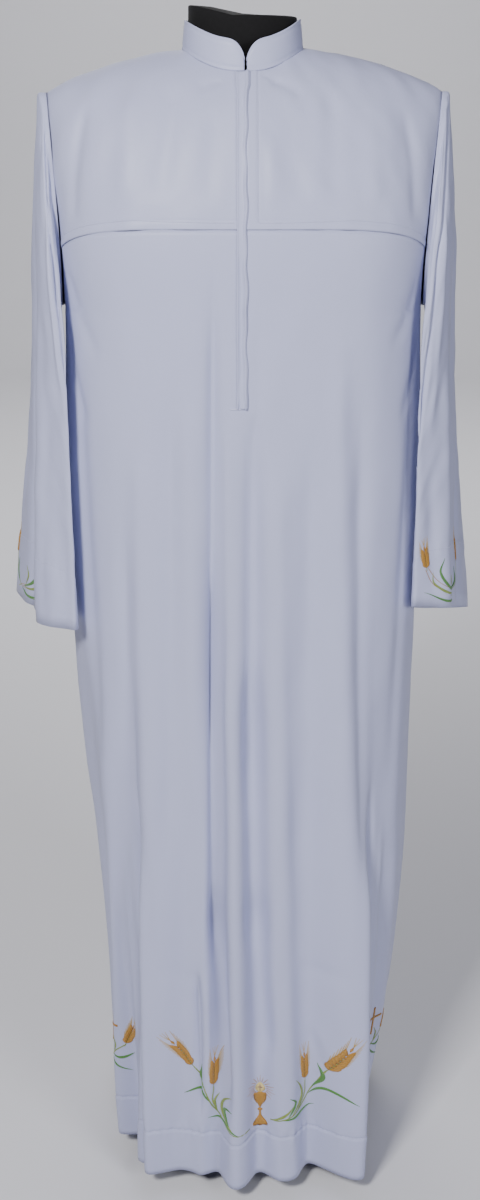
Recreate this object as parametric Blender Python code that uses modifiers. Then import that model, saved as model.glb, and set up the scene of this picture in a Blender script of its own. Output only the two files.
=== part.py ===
"""A plain white alb on a black limbless dress form with a pole stand.

Metres, +Z up, the alb faces -Y. The origin is the centre of the stand's underside, on the floor.
The wearer's left is at +X. Every piece of cloth is a thin wall between two faces: the outer face
follows the rings and sections below, and the inner face is the outer one moved in along its normal.
"""
import math

import bpy
from mathutils import Vector

# Cloth
WALL = 0.0015
HEM_WALL = 0.0023
SEAM = 0.0003
STRIP_WALL = 0.0012

# Heights
HEM_Z = 0.030
HEM_BAND_TOP_Z = 0.105
UNDERARM_Z = 1.200
YOKE_SEAM_Z = 1.301
YOKE_SIDE_DROP = 0.028
SLIT_END_Z = 1.103
STRIP_END_Z = 1.099

# Centre line, where the front opens
FRONT_X = 0.0065
SLIT = 0.0008
STRIP_LEFT_X = -0.0035
STRIP_RIGHT_X = 0.0085
STRIP_COLUMNS = 3
STRIP_TOP_CLIMB = 0.985

# The body as rings: half widths to each side of the centre line, depths to the front and the back
RINGS = (
    ("z", "right_side", "left_side", "front", "back"),
    (0.030, 0.186, 0.182, 0.205, 0.200),
    (0.150, 0.195, 0.201, 0.197, 0.193),
    (0.250, 0.197, 0.214, 0.189, 0.186),
    (0.450, 0.206, 0.225, 0.175, 0.172),
    (0.600, 0.218, 0.224, 0.163, 0.160),
    (0.800, 0.228, 0.223, 0.152, 0.148),
    (1.000, 0.228, 0.222, 0.146, 0.135),
    (1.200, 0.221, 0.215, 0.141, 0.124),
    (1.240, 0.224, 0.218, 0.140, 0.122),
    (1.300, 0.229, 0.224, 0.140, 0.120),
    (1.446, 0.239, 0.236, 0.140, 0.119),
)
ROUNDNESS = 2.6

# The arch of the cloth over the chest and over the shoulder blades, up to the shoulder line
FRONT_ARCH_Z = 1.240
BACK_ARCH_Z = 1.300
FRONT_ARCH_POWER = 2.0
BACK_ARCH_POWER = 4.0
SHOULDER_LINE = (
    ("from_centre", "z"),
    (0.000, 1.503), (0.070, 1.493), (0.113, 1.487), (0.162, 1.475), (0.205, 1.460), (0.240, 1.443),
)
TIP_RIGHT = 0.2343
TIP_LEFT = 0.2313

# The neck seam in plan
NECK_RIGHT = 0.0735
NECK_LEFT = 0.0665
NECK_FRONT = 0.069
NECK_BACK = 0.060

# The stand collar: height at the front, the sides and the back, and how far it leans in
COLLAR_FRONT = 0.034
COLLAR_SIDE = 0.032
COLLAR_BACK = 0.039
COLLAR_LEAN = 0.003
COLLAR_CORNER = 0.024
COLLAR_CORNER_POWER = 2.6
COLLAR_LEAST = 0.004
COLLAR_GAP_DEG = 1.2
COLLAR_CORNER_STEPS = (0.0, 3.0, 7.0, 12.0)

# Armhole: how far its edge lies in from the ring's widest place
ARMHOLE_TOP_INSET = 0.0047
ARMHOLE_MID_INSET = 0.0075
ARMHOLE_EASE = 0.35
ARMHOLE_ROUNDING = 0.8

# How far the sleeve stands off the body's side at the underarm, where the two lap
UNDERARM_LAP = 0.0022
LAP_FROM = 0.35

# Long folds of the body below the chest. Bearing is in degrees from +X, with the front at 270.
# Depth is in metres at the hem, plus for a ridge and minus for a trough.
FOLDS = (
    ("bearing", "top_bearing", "half_width", "depth", "top_z"),
    (18, 20, 15, 0.016, 1.00),
    (37, 37, 12, -0.020, 1.05),
    (55, 57, 12, 0.018, 1.10),
    (72, 73, 11, -0.018, 1.08),
    (90, 90, 12, 0.018, 1.12),
    (108, 106, 11, -0.020, 1.10),
    (125, 123, 12, 0.018, 1.08),
    (144, 143, 12, -0.019, 1.00),
    (166, 168, 14, 0.010, 0.90),
    (199, 199, 14, -0.033, 1.00),
    (211, 210, 7, 0.012, 0.85),
    (220, 219, 8, -0.020, 0.85),
    (233, 235, 12, 0.022, 1.10),
    (247, 248, 9, -0.007, 1.00),
    (258.5, 260, 7, -0.013, 1.26),
    (267, 266, 8, 0.020, 1.10),
    (276.5, 274, 7, -0.013, 1.22),
    (286, 282, 8, 0.008, 1.05),
    (297.5, 293, 9, -0.017, 0.90),
    (309, 312, 13, 0.046, 1.05),
    (328, 327, 9, -0.016, 0.90),
    (341, 341, 9, -0.010, 0.85),
    (349, 349, 8, -0.012, 0.80),
)
FOLD_FADE = 1.25

# Sleeves as flattened tubes. Each row is one section: its place along the sleeve, its front and
# back edges in plan, how far the outer and inner layers bow, and the bulge of the fold in front.
SLEEVE_RIGHT = (
    ("along", "front_x", "front_y", "back_x", "back_y", "bow_out", "bow_in", "knee"),
    (0.0, 0.2150, -0.062, 0.2150, 0.062, 0.008, 0.006, 0.000),
    (0.2, 0.2090, -0.090, 0.2370, 0.070, 0.026, -0.004, 0.000),
    (0.4, 0.2065, -0.100, 0.2560, 0.072, 0.022, -0.003, 0.004),
    (0.6, 0.2060, -0.105, 0.2730, 0.070, 0.018, 0.001, 0.012),
    (0.8, 0.2062, -0.108, 0.2890, 0.063, 0.016, 0.008, 0.018),
    (1.0, 0.2070, -0.110, 0.3030, 0.055, 0.016, 0.016, 0.020),
)
SLEEVE_LEFT = (
    ("along", "front_x", "front_y", "back_x", "back_y", "bow_out", "bow_in", "knee"),
    (0.0, 0.2220, -0.062, 0.2220, 0.062, 0.008, 0.006, 0.000),
    (0.2, 0.2170, -0.088, 0.2460, 0.066, 0.026, -0.004, 0.000),
    (0.4, 0.2150, -0.096, 0.2640, 0.068, 0.022, -0.003, 0.004),
    (0.6, 0.2150, -0.099, 0.2800, 0.066, 0.018, 0.001, 0.010),
    (0.8, 0.2170, -0.100, 0.2950, 0.060, 0.016, 0.008, 0.014),
    (1.0, 0.2190, -0.100, 0.3090, 0.050, 0.017, 0.017, 0.016),
)
KNEE_AT = 0.22
KNEE_HALF_WIDTH = 0.22
SLEEVE_REACH = 0.012
SLEEVE_SIDE_REACH = 0.0065
SLEEVE_REACH_RATE = 0.03
SLEEVE_SETTLE = 0.30
CUFF_RIGHT_Z = 0.810
CUFF_LEFT_OUT_Z = 0.815
CUFF_LEFT_IN_Z = 0.805
CUFF_LEFT_TILT = 0.028
CUFF_BAND = 0.14

# Where sections are taken
BODY_LEVELS = (0.030, 0.105, 0.185, 0.270, 0.360, 0.450, 0.545, 0.640, 0.735, 0.830, 0.925, 1.015,
               SLIT_END_Z, 1.155, UNDERARM_Z)
CHEST_STEPS = (0.06, 0.25, 0.50, 0.75, 1.00)
FRONT_COLUMNS = 46
NECK_COLUMNS = 5
SHOULDER_SIDE_COLUMNS = 8
ARCH_ROWS = 8
ARCH_CROWDING = 1.5
SLEEVE_STATIONS = (0.0, 0.024, 0.07, 0.14, 0.22, 0.31, 0.41, 0.52, 0.64, 0.76, 0.89, 1.0)
SLEEVE_AROUND = 28
COLLAR_ROWS = 4

# The form under the cloth: half width, front and back depth of each ring up to the chest
FORM_RINGS = (
    ("z", "half_width", "front", "back"),
    (0.735, 0.138, 0.094, 0.094),
    (0.750, 0.156, 0.110, 0.110),
    (0.830, 0.168, 0.118, 0.118),
    (0.930, 0.162, 0.112, 0.108),
    (1.030, 0.150, 0.104, 0.096),
    (1.130, 0.160, 0.116, 0.100),
    (1.240, 0.178, 0.128, 0.108),
)
FORM_TOP_LEVELS = (1.300, 1.350, 1.395, 1.425, 1.446, 1.461, 1.473, 1.480)
FORM_SHOULDER_X = 0.204
FORM_FULL_X = 0.216
FORM_SQUARING = 0.85
FORM_SIDE_EASE = 0.15
FORM_EDGE_KEEP = 0.3
FORM_CLEAR = 0.0022
FORM_FRONT_CLEAR = 0.013
FORM_BACK_CLEAR = 0.009
FORM_X = 0.003
FORM_NECK_RINGS = (
    ("z", "half_width", "half_depth"),
    (1.487, 0.0580, 0.0440), (1.498, 0.0628, 0.0500), (1.526, 0.0630, 0.0505),
)
FORM_NECK_Y = 0.001
FORM_NECK_CROWN = 0.002
FORM_NECK_RISE = 0.016
FORM_NECK_LEVEL_SHARE = 0.2
FORM_AROUND = 32

# Stand
POLE_RADIUS = 0.016
BASE_RADIUS = 0.160
BASE_THICK = 0.012
SOCKET_RADIUS = 0.030
SOCKET_TOP_Z = 0.060
BASE_BEVEL = 0.003
POLE_AROUND = 24
BASE_AROUND = 40

CLOTH_COLOUR = (0.51, 0.52, 0.63, 1.0)
FORM_COLOUR = (0.006, 0.006, 0.007, 1.0)
METAL_COLOUR = (0.02, 0.02, 0.022, 1.0)
CLOTH_ROUGHNESS = 0.55
FORM_ROUGHNESS = 0.85
METAL_ROUGHNESS = 0.4

# The step for a slope, and how near points are welded
NUDGE = 1e-4
WELD = 5e-5
SHARP_DEG = 50.0
TIP_SHARE = 1e-12


def lerp(a, b, t):
    return a + (b - a) * t


def smooth(t):
    t = min(max(t, 0.0), 1.0)
    return t * t * (3.0 - 2.0 * t)


def table(rows, key, name):
    """The value of a named column at a key, on a smooth curve through the table's rows."""
    column = rows[0].index(name)
    rows = rows[1:]
    if key <= rows[0][0]:
        return rows[0][column]
    for index in range(len(rows) - 1):
        low, high = rows[index], rows[index + 1]
        if key <= high[0]:
            before = rows[max(index - 1, 0)]
            after = rows[min(index + 2, len(rows) - 1)]
            span = high[0] - low[0]
            t = (key - low[0]) / span
            slope_low = (high[column] - before[column]) / (high[0] - before[0]) * span
            slope_high = (after[column] - low[column]) / (after[0] - low[0]) * span
            return ((2 * t ** 3 - 3 * t ** 2 + 1) * low[column] + (t ** 3 - 2 * t ** 2 + t) * slope_low
                    + (3 * t ** 2 - 2 * t ** 3) * high[column] + (t ** 3 - t ** 2) * slope_high)
    return rows[-1][column]


def bump(distance, half_width):
    """One at the middle, falling smoothly to nothing at the half width."""
    reach = abs(distance) / half_width
    return 0.5 * (1.0 + math.cos(math.pi * reach)) if reach < 1.0 else 0.0


def shoulder_z(x):
    return table(SHOULDER_LINE, abs(x - FRONT_X), "z")


def half_width(side, z):
    return table(RINGS, z, "left_side" if side > 0 else "right_side")


def arch(x, z, back):
    """How much of its depth the cloth keeps at this height, from 1 at the chest to 0 at the shoulder."""
    start = BACK_ARCH_Z if back else FRONT_ARCH_Z
    if z <= start:
        return 1.0
    rise = min((z - start) / (shoulder_z(x) - start), 1.0)
    return math.sqrt(max(1.0 - rise ** (BACK_ARCH_POWER if back else FRONT_ARCH_POWER), 0.0))


def fold_depth(x, y, z):
    bearing = math.degrees(math.atan2(y, x - FRONT_X)) % 360.0
    total = 0.0
    for low_bearing, top_bearing, width, depth, top_z in FOLDS[1:]:
        if z >= top_z:
            continue
        fade = (top_z - z) / (top_z - HEM_Z)
        middle = lerp(low_bearing, top_bearing, 1.0 - fade)
        away = (bearing - middle + 180.0) % 360.0 - 180.0
        total += depth * fade ** FOLD_FADE * bump(away, width)
    return total


def body_point(angle, z):
    """A point of the body at a ring angle: 0 at the left side, 90 at the front, 270 at the back."""
    turn = math.radians(angle)
    across, deep = math.cos(turn), math.sin(turn)
    side = 1.0 if across >= 0.0 else -1.0
    back = deep < 0.0
    power = 2.0 / ROUNDNESS
    x = FRONT_X + side * half_width(side, z) * abs(across) ** power
    depth = table(RINGS, z, "back" if back else "front") * abs(deep) ** power * arch(x, z, back)
    y = depth if back else -depth
    push = fold_depth(x, y, z)
    if push:
        away = Vector((x - FRONT_X, y, 0.0)).normalized() * push
        x, y = x + away.x, y + away.y
    return Vector((x, y, z))


def armhole_inset(turn):
    rise = math.sin(turn)
    across = abs(math.cos(turn)) ** (1.0 - ARMHOLE_ROUNDING * min(rise, 0.0))
    return ARMHOLE_TOP_INSET * (1.0 + rise) / 2.0 + ARMHOLE_MID_INSET * across * (1.0 - ARMHOLE_EASE * rise)


def armhole_tip_z(side):
    return shoulder_z(FRONT_X + side * (TIP_LEFT if side > 0 else TIP_RIGHT))


def armhole_x(side, z):
    """Where the armhole's edge lies at a height, measured from the centre line."""
    middle = (UNDERARM_Z + armhole_tip_z(side)) / 2.0
    half = (armhole_tip_z(side) - UNDERARM_Z) / 2.0
    turn = math.asin(min(max((z - middle) / half, -1.0), 1.0))
    return half_width(side, z) - armhole_inset(turn)


def edge_angle(side, z):
    """The ring angle, up from the side, at which the armhole cuts a ring."""
    if z <= UNDERARM_Z:
        return 0.0
    share = armhole_x(side, z) / half_width(side, z)
    return math.degrees(math.acos(min(share, 1.0) ** (ROUNDNESS / 2.0)))


def seam_z(u):
    return YOKE_SEAM_Z - YOKE_SIDE_DROP * abs(u) ** 3


def front_point(u, z):
    """The front from -1 at the wearer's right edge to 1 at the left edge."""
    side = 1.0 if u >= 0.0 else -1.0
    return body_point(90.0 - u * (90.0 - edge_angle(side, z)), z)


def back_point(u, z):
    side = 1.0 if u >= 0.0 else -1.0
    return body_point(270.0 + u * (90.0 - edge_angle(side, z)), z)


def neck_half(side):
    return NECK_LEFT if side > 0 else NECK_RIGHT


def armhole_reach(side, back, turn):
    """How far out the armhole's edge lies where the arch has climbed to this turn."""
    start = BACK_ARCH_Z if back else FRONT_ARCH_Z
    tip_z = armhole_tip_z(side)
    reach = TIP_LEFT if side > 0 else TIP_RIGHT
    for _ in range(5):
        z = start + (shoulder_z(FRONT_X + reach) - start) * math.sin(turn)
        reach = armhole_x(side, min(z, tip_z))
    return reach


def low_turn(side, back, share):
    """The arch's turn at its lower line, the yoke seam or the shoulder blades."""
    start = BACK_ARCH_Z if back else FRONT_ARCH_Z
    low_z = BACK_ARCH_Z if back else seam_z(share)
    low_x = abs((back_point if back else front_point)(side * share, low_z).x - FRONT_X)
    rise = (low_z - start) / (shoulder_z(FRONT_X + low_x) - start)
    return low_x, math.asin(min(max(rise, -1.0), 1.0))


def arch_point(side, back, share, climb):
    """A point of the yoke or the upper back.

    share runs from 0 at the centre line to 1 at the armhole, and climb from 0 at the lower line to 1
    at the neck seam or the shoulder line. A climb past 1 runs on over the shoulder.
    """
    neck_share = NECK_COLUMNS / (NECK_COLUMNS + SHOULDER_SIDE_COLUMNS)
    start = BACK_ARCH_Z if back else FRONT_ARCH_Z
    power = BACK_ARCH_POWER if back else FRONT_ARCH_POWER
    tip = TIP_LEFT if side > 0 else TIP_RIGHT
    if share <= neck_share:
        neck_turn = share / neck_share * math.pi / 2.0
        top_x = neck_half(side) * math.sin(neck_turn)
        end_depth = (NECK_BACK if back else NECK_FRONT) * math.cos(neck_turn)
    else:
        top_x = lerp(neck_half(side), tip, (share - neck_share) / (1.0 - neck_share))
        end_depth = 0.0
    top_z = shoulder_z(FRONT_X + top_x)
    full = table(RINGS, start, "back" if back else "front")
    keep = (1.0 - (top_x / half_width(side, top_z)) ** ROUNDNESS) ** (1.0 / ROUNDNESS)
    end_rise = (1.0 - min(end_depth / (full * keep), 1.0) ** 2) ** (1.0 / power)
    low_x, turn_low = low_turn(side, back, share)
    edge_x, edge_low = low_turn(side, back, 1.0)
    below = min(climb, 2.0 - climb)
    edge_reach = armhole_reach(side, back, lerp(edge_low, math.pi / 2.0, below))
    edge_shift = edge_reach - lerp(edge_x, tip, below ** 2)
    off_x = lerp(low_x, top_x, below ** 2) + edge_shift * share ** 4
    turn = lerp(turn_low, math.asin(end_rise), climb)
    z = start + (shoulder_z(FRONT_X + off_x) - start) * math.sin(turn)
    keep = max(1.0 - min(off_x / half_width(side, z), 1.0) ** ROUNDNESS, 0.0) ** (1.0 / ROUNDNESS)
    rise = max(math.sin(turn), 0.0)
    depth = table(RINGS, z, "back" if back else "front") * keep * math.sqrt(max(1.0 - rise ** power, 0.0))
    if turn > math.pi / 2.0:
        depth = -depth
    return Vector((FRONT_X + side * off_x, depth if back else -depth, z))


def normal_of(point, a, b, a_range=None, b_range=None):
    """The unit normal of a surface, from its two directions; a range keeps a step on the surface."""
    a_low, a_high = a - NUDGE, a + NUDGE
    b_low, b_high = b - NUDGE, b + NUDGE
    if a_range:
        a_low, a_high = max(a_low, a_range[0]), min(a_high, a_range[1])
    if b_range:
        b_low, b_high = max(b_low, b_range[0]), min(b_high, b_range[1])
    along = point(a_high, b) - point(a_low, b)
    up = point(a, b_high) - point(a, b_low)
    return along.cross(up).normalized()


def face_out(normal, spot, centre):
    return normal if normal.dot(spot - centre) >= 0.0 else -normal


def make_material(name, colour, roughness):
    material = bpy.data.materials.new(name)
    material.use_nodes = True
    shader = material.node_tree.nodes["Principled BSDF"]
    shader.inputs["Base Color"].default_value = colour
    shader.inputs["Roughness"].default_value = roughness
    material.diffuse_color = colour
    return material


def new_object(name, mesh, collection, material):
    piece = bpy.data.objects.new(name, mesh)
    piece.data.materials.append(material)
    collection.objects.link(piece)
    mesh.shade_smooth()
    mesh.set_sharp_from_angle(angle=math.radians(SHARP_DEG))
    return piece


def cloth_piece(name, spots, quads, collection, material):
    """Loft a closed wall of cloth.

    spots maps a key to (outer point, normal, thickness). Each quad is four keys, counter-clockwise
    from outside, and both faces split it along the same diagonal, so that a twisted quad keeps its
    wall. Open edges get a rim between the outer and the inner face.
    """
    order = {key: index for index, key in enumerate(spots)}
    count = len(order)
    outer = [spot for spot, _, _ in spots.values()]
    inner = [spot - normal * thick for spot, normal, thick in spots.values()]
    faces = []
    edges = {}
    for quad in quads:
        ring = [order[key] for key in quad]
        a, b, c, d = ring
        if (outer[a] - outer[c]).length <= (outer[b] - outer[d]).length:
            halves = ((a, b, c), (a, c, d))
        else:
            halves = ((a, b, d), (b, c, d))
        for half in halves:
            faces.append(half)
            faces.append([index + count for index in reversed(half)])
        for here, there in zip(ring, ring[1:] + ring[:1]):
            edges[(here, there)] = edges.get((here, there), 0) + 1
    for here, there in edges:
        if (there, here) not in edges:
            faces.append([there, here, here + count, there + count])
    mesh = bpy.data.meshes.new(name)
    mesh.from_pydata([tuple(spot) for spot in outer + inner], [], faces)
    mesh.update()
    return new_object(name, mesh, collection, material)


def grid_quads(rows, columns, wrap=False):
    quads = []
    for row in range(rows - 1):
        for column in range(columns if wrap else columns - 1):
            right = (column + 1) % columns
            quads.append(((row, column), (row, right), (row + 1, right), (row + 1, column)))
    return quads


def wall_at(z):
    return HEM_WALL if z <= HEM_BAND_TOP_Z else WALL


def step_in(edge, neighbour, amount):
    return edge + (neighbour - edge).normalized() * amount


def open_seams(spots, rows, columns, sides=(), ends=()):
    """Move the named edges of a grid in by half a seam, so that neighbours stay a seam apart."""
    half = SEAM / 2.0
    moved = {}
    for row in range(rows):
        if "left" in sides:
            moved[(row, 0)] = ((row, 1),)
        if "right" in sides:
            moved[(row, columns - 1)] = ((row, columns - 2),)
    for column in range(columns):
        if "bottom" in ends:
            moved[(0, column)] = moved.get((0, column), ()) + ((1, column),)
        if "top" in ends:
            moved[(rows - 1, column)] = moved.get((rows - 1, column), ()) + ((rows - 2, column),)
    shifted = {}
    for key, targets in moved.items():
        spot, normal, thick = spots[key]
        for target in targets:
            spot = step_in(spot, spots[target][0], half)
        shifted[key] = (spot, normal, thick)
    spots.update(shifted)


def make_front_panel(collection, material):
    """The front from the hem to the yoke seam, slit down the middle behind the fly strip."""
    across = [-1.0 + 2.0 * index / FRONT_COLUMNS for index in range(FRONT_COLUMNS + 1)]
    levels = [(z, None) for z in BODY_LEVELS] + [(UNDERARM_Z, step) for step in CHEST_STEPS]
    middle = FRONT_COLUMNS // 2
    slit_row = BODY_LEVELS.index(SLIT_END_Z)
    spots = {}
    for row, (level, step) in enumerate(levels):
        for column, u in enumerate(across):
            z = level if step is None else lerp(UNDERARM_Z, seam_z(u), step)
            spot = front_point(u, z)
            above = NUDGE if step is not None else 0.0
            normal = normal_of(front_point, u, z, (-1.0, 1.0), (z - NUDGE, z + above))
            normal = face_out(normal, spot, Vector((FRONT_X, 0.0, z)))
            spots[(row, column)] = (spot, normal, wall_at(z))
    open_seams(spots, len(levels), len(across), ("left", "right"), ("top",))
    quads = grid_quads(len(levels), len(across))
    for row in range(slit_row + 1, len(levels)):
        spot, normal, thick = spots[(row, middle)]
        spots[(row, middle)] = (spot - Vector((SLIT / 2.0, 0.0, 0.0)), normal, thick)
        spots[(row, "left edge")] = (spot + Vector((SLIT / 2.0, 0.0, 0.0)), normal, thick)
    split = []
    for quad in quads:
        if quad[0][1] == middle and quad[3][0] > slit_row:
            quad = tuple((row, "left edge") if column == middle and row > slit_row else (row, column)
                         for row, column in quad)
        split.append(quad)
    return cloth_piece("front_panel", spots, split, collection, material)


def arch_climbs():
    return [1.0 - (1.0 - index / ARCH_ROWS) ** ARCH_CROWDING for index in range(ARCH_ROWS + 1)]


def arch_shares():
    count = NECK_COLUMNS + SHOULDER_SIDE_COLUMNS
    return [index / count for index in range(count + 1)]


def make_yoke(name, side, collection, material):
    """One half of the front yoke, from the yoke seam to the neck seam and the shoulder line."""
    shares = arch_shares() if side > 0 else arch_shares()[::-1]
    climbs = arch_climbs()
    spots = {}
    for row, climb in enumerate(climbs):
        for column, share in enumerate(shares):
            def point(a, b):
                return arch_point(side, False, a, b)
            spot = point(share, climb)
            normal = normal_of(point, share, climb, (0.0, 1.0))
            if normal.dot(Vector((0.0, -1.0, 1.0))) < 0.0:
                normal = -normal
            spots[(row, column)] = (spot, normal, WALL)
    open_seams(spots, len(climbs), len(shares), ("left", "right"), ("bottom", "top"))
    centre = 0 if side > 0 else len(shares) - 1
    for row in range(len(climbs)):
        spot, normal, thick = spots[(row, centre)]
        spots[(row, centre)] = (spot + Vector((side * SLIT / 2.0, 0.0, 0.0)), normal, thick)
    return cloth_piece(name, spots, grid_quads(len(climbs), len(shares)), collection, material)


def make_back_panel(collection, material):
    """The whole back in one piece, up to the neck seam and the shoulder line."""
    shares = arch_shares()
    signed = [-share for share in shares[:0:-1]] + shares
    low = [(z, None) for z in BODY_LEVELS] + [(UNDERARM_Z, step) for step in CHEST_STEPS[:-1]]
    climbs = arch_climbs()
    spots = {}
    row = 0
    for level, step in low:
        for column, u in enumerate(signed[::-1]):
            z = level if step is None else lerp(UNDERARM_Z, BACK_ARCH_Z, step)
            spot = back_point(u, z)
            above = NUDGE if step is not None else 0.0
            normal = normal_of(back_point, u, z, (-1.0, 1.0), (z - NUDGE, z + above))
            normal = face_out(normal, spot, Vector((FRONT_X, 0.0, z)))
            spots[(row, column)] = (spot, normal, wall_at(z))
        row += 1
    for climb in climbs:
        for column, u in enumerate(signed[::-1]):
            side = 1.0 if u >= 0.0 else -1.0

            def point(a, b):
                return arch_point(side, True, a, b)
            spot = point(abs(u), climb)
            normal = normal_of(point, abs(u), climb, (0.0, 1.0))
            if normal.dot(Vector((0.0, 1.0, 1.0))) < 0.0:
                normal = -normal
            spots[(row, column)] = (spot, normal, WALL)
        row += 1
    open_seams(spots, row, len(signed), ("left", "right"), ("top",))
    return cloth_piece("back_panel", spots, grid_quads(row, len(signed)), collection, material)


def armhole_spot(side, turn):
    """A point of the armhole's edge: -90 degrees at the underarm, 0 in front, 90 at the shoulder tip."""
    back = math.cos(turn) < 0.0
    middle = (UNDERARM_Z + armhole_tip_z(side)) / 2.0
    half = (armhole_tip_z(side) - UNDERARM_Z) / 2.0
    z = middle + half * math.sin(turn)
    start = edge_angle(side, z)
    if side > 0:
        angle = -start if back else start
    else:
        angle = 180.0 + start if back else 180.0 - start
    spot = body_point(angle, z)
    if math.sin(turn) > 1.0 - TIP_SHARE:
        spot.y = 0.0
    return spot


def sleeve_point(side, along, turn):
    """A point of a sleeve: 0 at the front edge, 90 on the outer layer, 180 at the back edge, 270 inside."""
    rows = SLEEVE_LEFT if side > 0 else SLEEVE_RIGHT
    seam = armhole_spot(side, turn)
    lap = UNDERARM_LAP * smooth((LAP_FROM - math.sin(turn)) / (LAP_FROM + 1.0))
    cap = lerp(SLEEVE_SIDE_REACH, SLEEVE_REACH, math.sin(turn) ** 4)
    reach = SEAM + lap + cap * (1.0 - math.exp(-along / SLEEVE_REACH_RATE))
    start = seam + Vector((side * reach, 0.0, 0.0))
    front = Vector((table(rows, along, "front_x"), table(rows, along, "front_y")))
    back = Vector((table(rows, along, "back_x"), table(rows, along, "back_y")))
    share = (1.0 - math.cos(turn)) / 2.0
    outer = math.sin(turn) >= 0.0
    bow = table(rows, along, "bow_out" if outer else "bow_in") * math.sin(turn)
    if outer:
        knee = table(rows, along, "knee") * bump(share - KNEE_AT, KNEE_HALF_WIDTH)
        bow += knee * math.sqrt(math.sin(turn))
    line = (back - front).normalized()
    out = Vector((line.y, -line.x))
    plan = front.lerp(back, share) + out * bow
    if side > 0:
        cuff_out, cuff_in, tilt = CUFF_LEFT_OUT_Z, CUFF_LEFT_IN_Z, CUFF_LEFT_TILT
    else:
        cuff_out, cuff_in, tilt = CUFF_RIGHT_Z, CUFF_RIGHT_Z, 0.0
    high = lerp(armhole_tip_z(side), cuff_out, along)
    low = lerp(UNDERARM_Z, cuff_in, along)
    z = (high + low) / 2.0 + (high - low) / 2.0 * math.sin(turn) + tilt * along ** 2 * math.cos(turn)
    hang = Vector((side * plan.x, plan.y, z))
    return start.lerp(hang, smooth(along / SLEEVE_SETTLE))


def make_sleeve(name, side, collection, material):
    spots = {}
    for row, along in enumerate(SLEEVE_STATIONS[::-1]):
        for column in range(SLEEVE_AROUND):
            turn = side * 2.0 * math.pi * column / SLEEVE_AROUND

            def point(a, b):
                return sleeve_point(side, b, a)
            spot = point(turn, along)
            normal = normal_of(point, turn, along, None, (0.0, 1.0)) * -side
            if along == 0.0:
                normal = Vector((0.0, normal.y, normal.z)).normalized()
            thick = HEM_WALL if along > 1.0 - CUFF_BAND else WALL
            spots[(row, column)] = (spot, normal, thick)
    quads = grid_quads(len(SLEEVE_STATIONS), SLEEVE_AROUND, wrap=True)
    return cloth_piece(name, spots, quads, collection, material)


def neck_seam(turn):
    """The neck seam: 0 at the wearer's left side, 90 at the front, 180 at the right, 270 at the back."""
    side = 1.0 if math.cos(turn) >= 0.0 else -1.0
    back = math.sin(turn) < 0.0
    neck_share = NECK_COLUMNS / (NECK_COLUMNS + SHOULDER_SIDE_COLUMNS)
    share = math.asin(min(abs(math.cos(turn)), 1.0)) / (math.pi / 2.0) * neck_share
    return arch_point(side, back, share, 1.0)


def collar_foot(turn):
    """A point on the straight run between two of the yoke's neck points, so that the seam stays even."""
    step = math.pi / 2.0 / NECK_COLUMNS
    first = math.floor(turn / step + 1e-6) * step
    return neck_seam(first).lerp(neck_seam(first + step), (turn - first) / step)


def collar_height(turn):
    lean = math.sin(turn)
    tall = COLLAR_FRONT if lean > 0.0 else COLLAR_BACK
    height = lerp(COLLAR_SIDE, tall, lean * lean)
    from_opening = abs(neck_seam(turn).x - FRONT_X) if lean > 0.0 else COLLAR_CORNER
    if from_opening < COLLAR_CORNER:
        height *= math.sqrt(max(1.0 - (1.0 - from_opening / COLLAR_CORNER) ** COLLAR_CORNER_POWER, 0.0))
    return max(height, COLLAR_LEAST)


def make_collar(collection, material):
    """The stand collar, one band from one rounded front corner round the back to the other."""
    step = 90.0 / NECK_COLUMNS
    gap = math.radians(COLLAR_GAP_DEG)
    turns = [math.pi / 2.0 + gap + math.radians(extra) for extra in COLLAR_CORNER_STEPS]
    turns += [math.pi / 2.0 + math.radians(step * index) for index in range(1, 4 * NECK_COLUMNS)]
    turns += [math.pi * 2.5 - gap - math.radians(extra) for extra in COLLAR_CORNER_STEPS[::-1]]
    spots = {}
    for row in range(COLLAR_ROWS + 1):
        share = row / COLLAR_ROWS
        for column, turn in enumerate(turns):
            seam = collar_foot(turn)
            outward = Vector((math.cos(turn) / neck_half(math.cos(turn)),
                              -math.sin(turn) / (NECK_FRONT if math.sin(turn) > 0.0 else NECK_BACK), 0.0))
            outward.normalize()
            height = collar_height(turn) * share
            spot = seam + Vector((0.0, 0.0, SEAM + height)) - outward * COLLAR_LEAN * share
            spots[(row, column)] = (spot, outward, WALL)
    quads = [quad[::-1] for quad in grid_quads(COLLAR_ROWS + 1, len(turns))]
    return cloth_piece("collar", spots, quads, collection, material)


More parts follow.
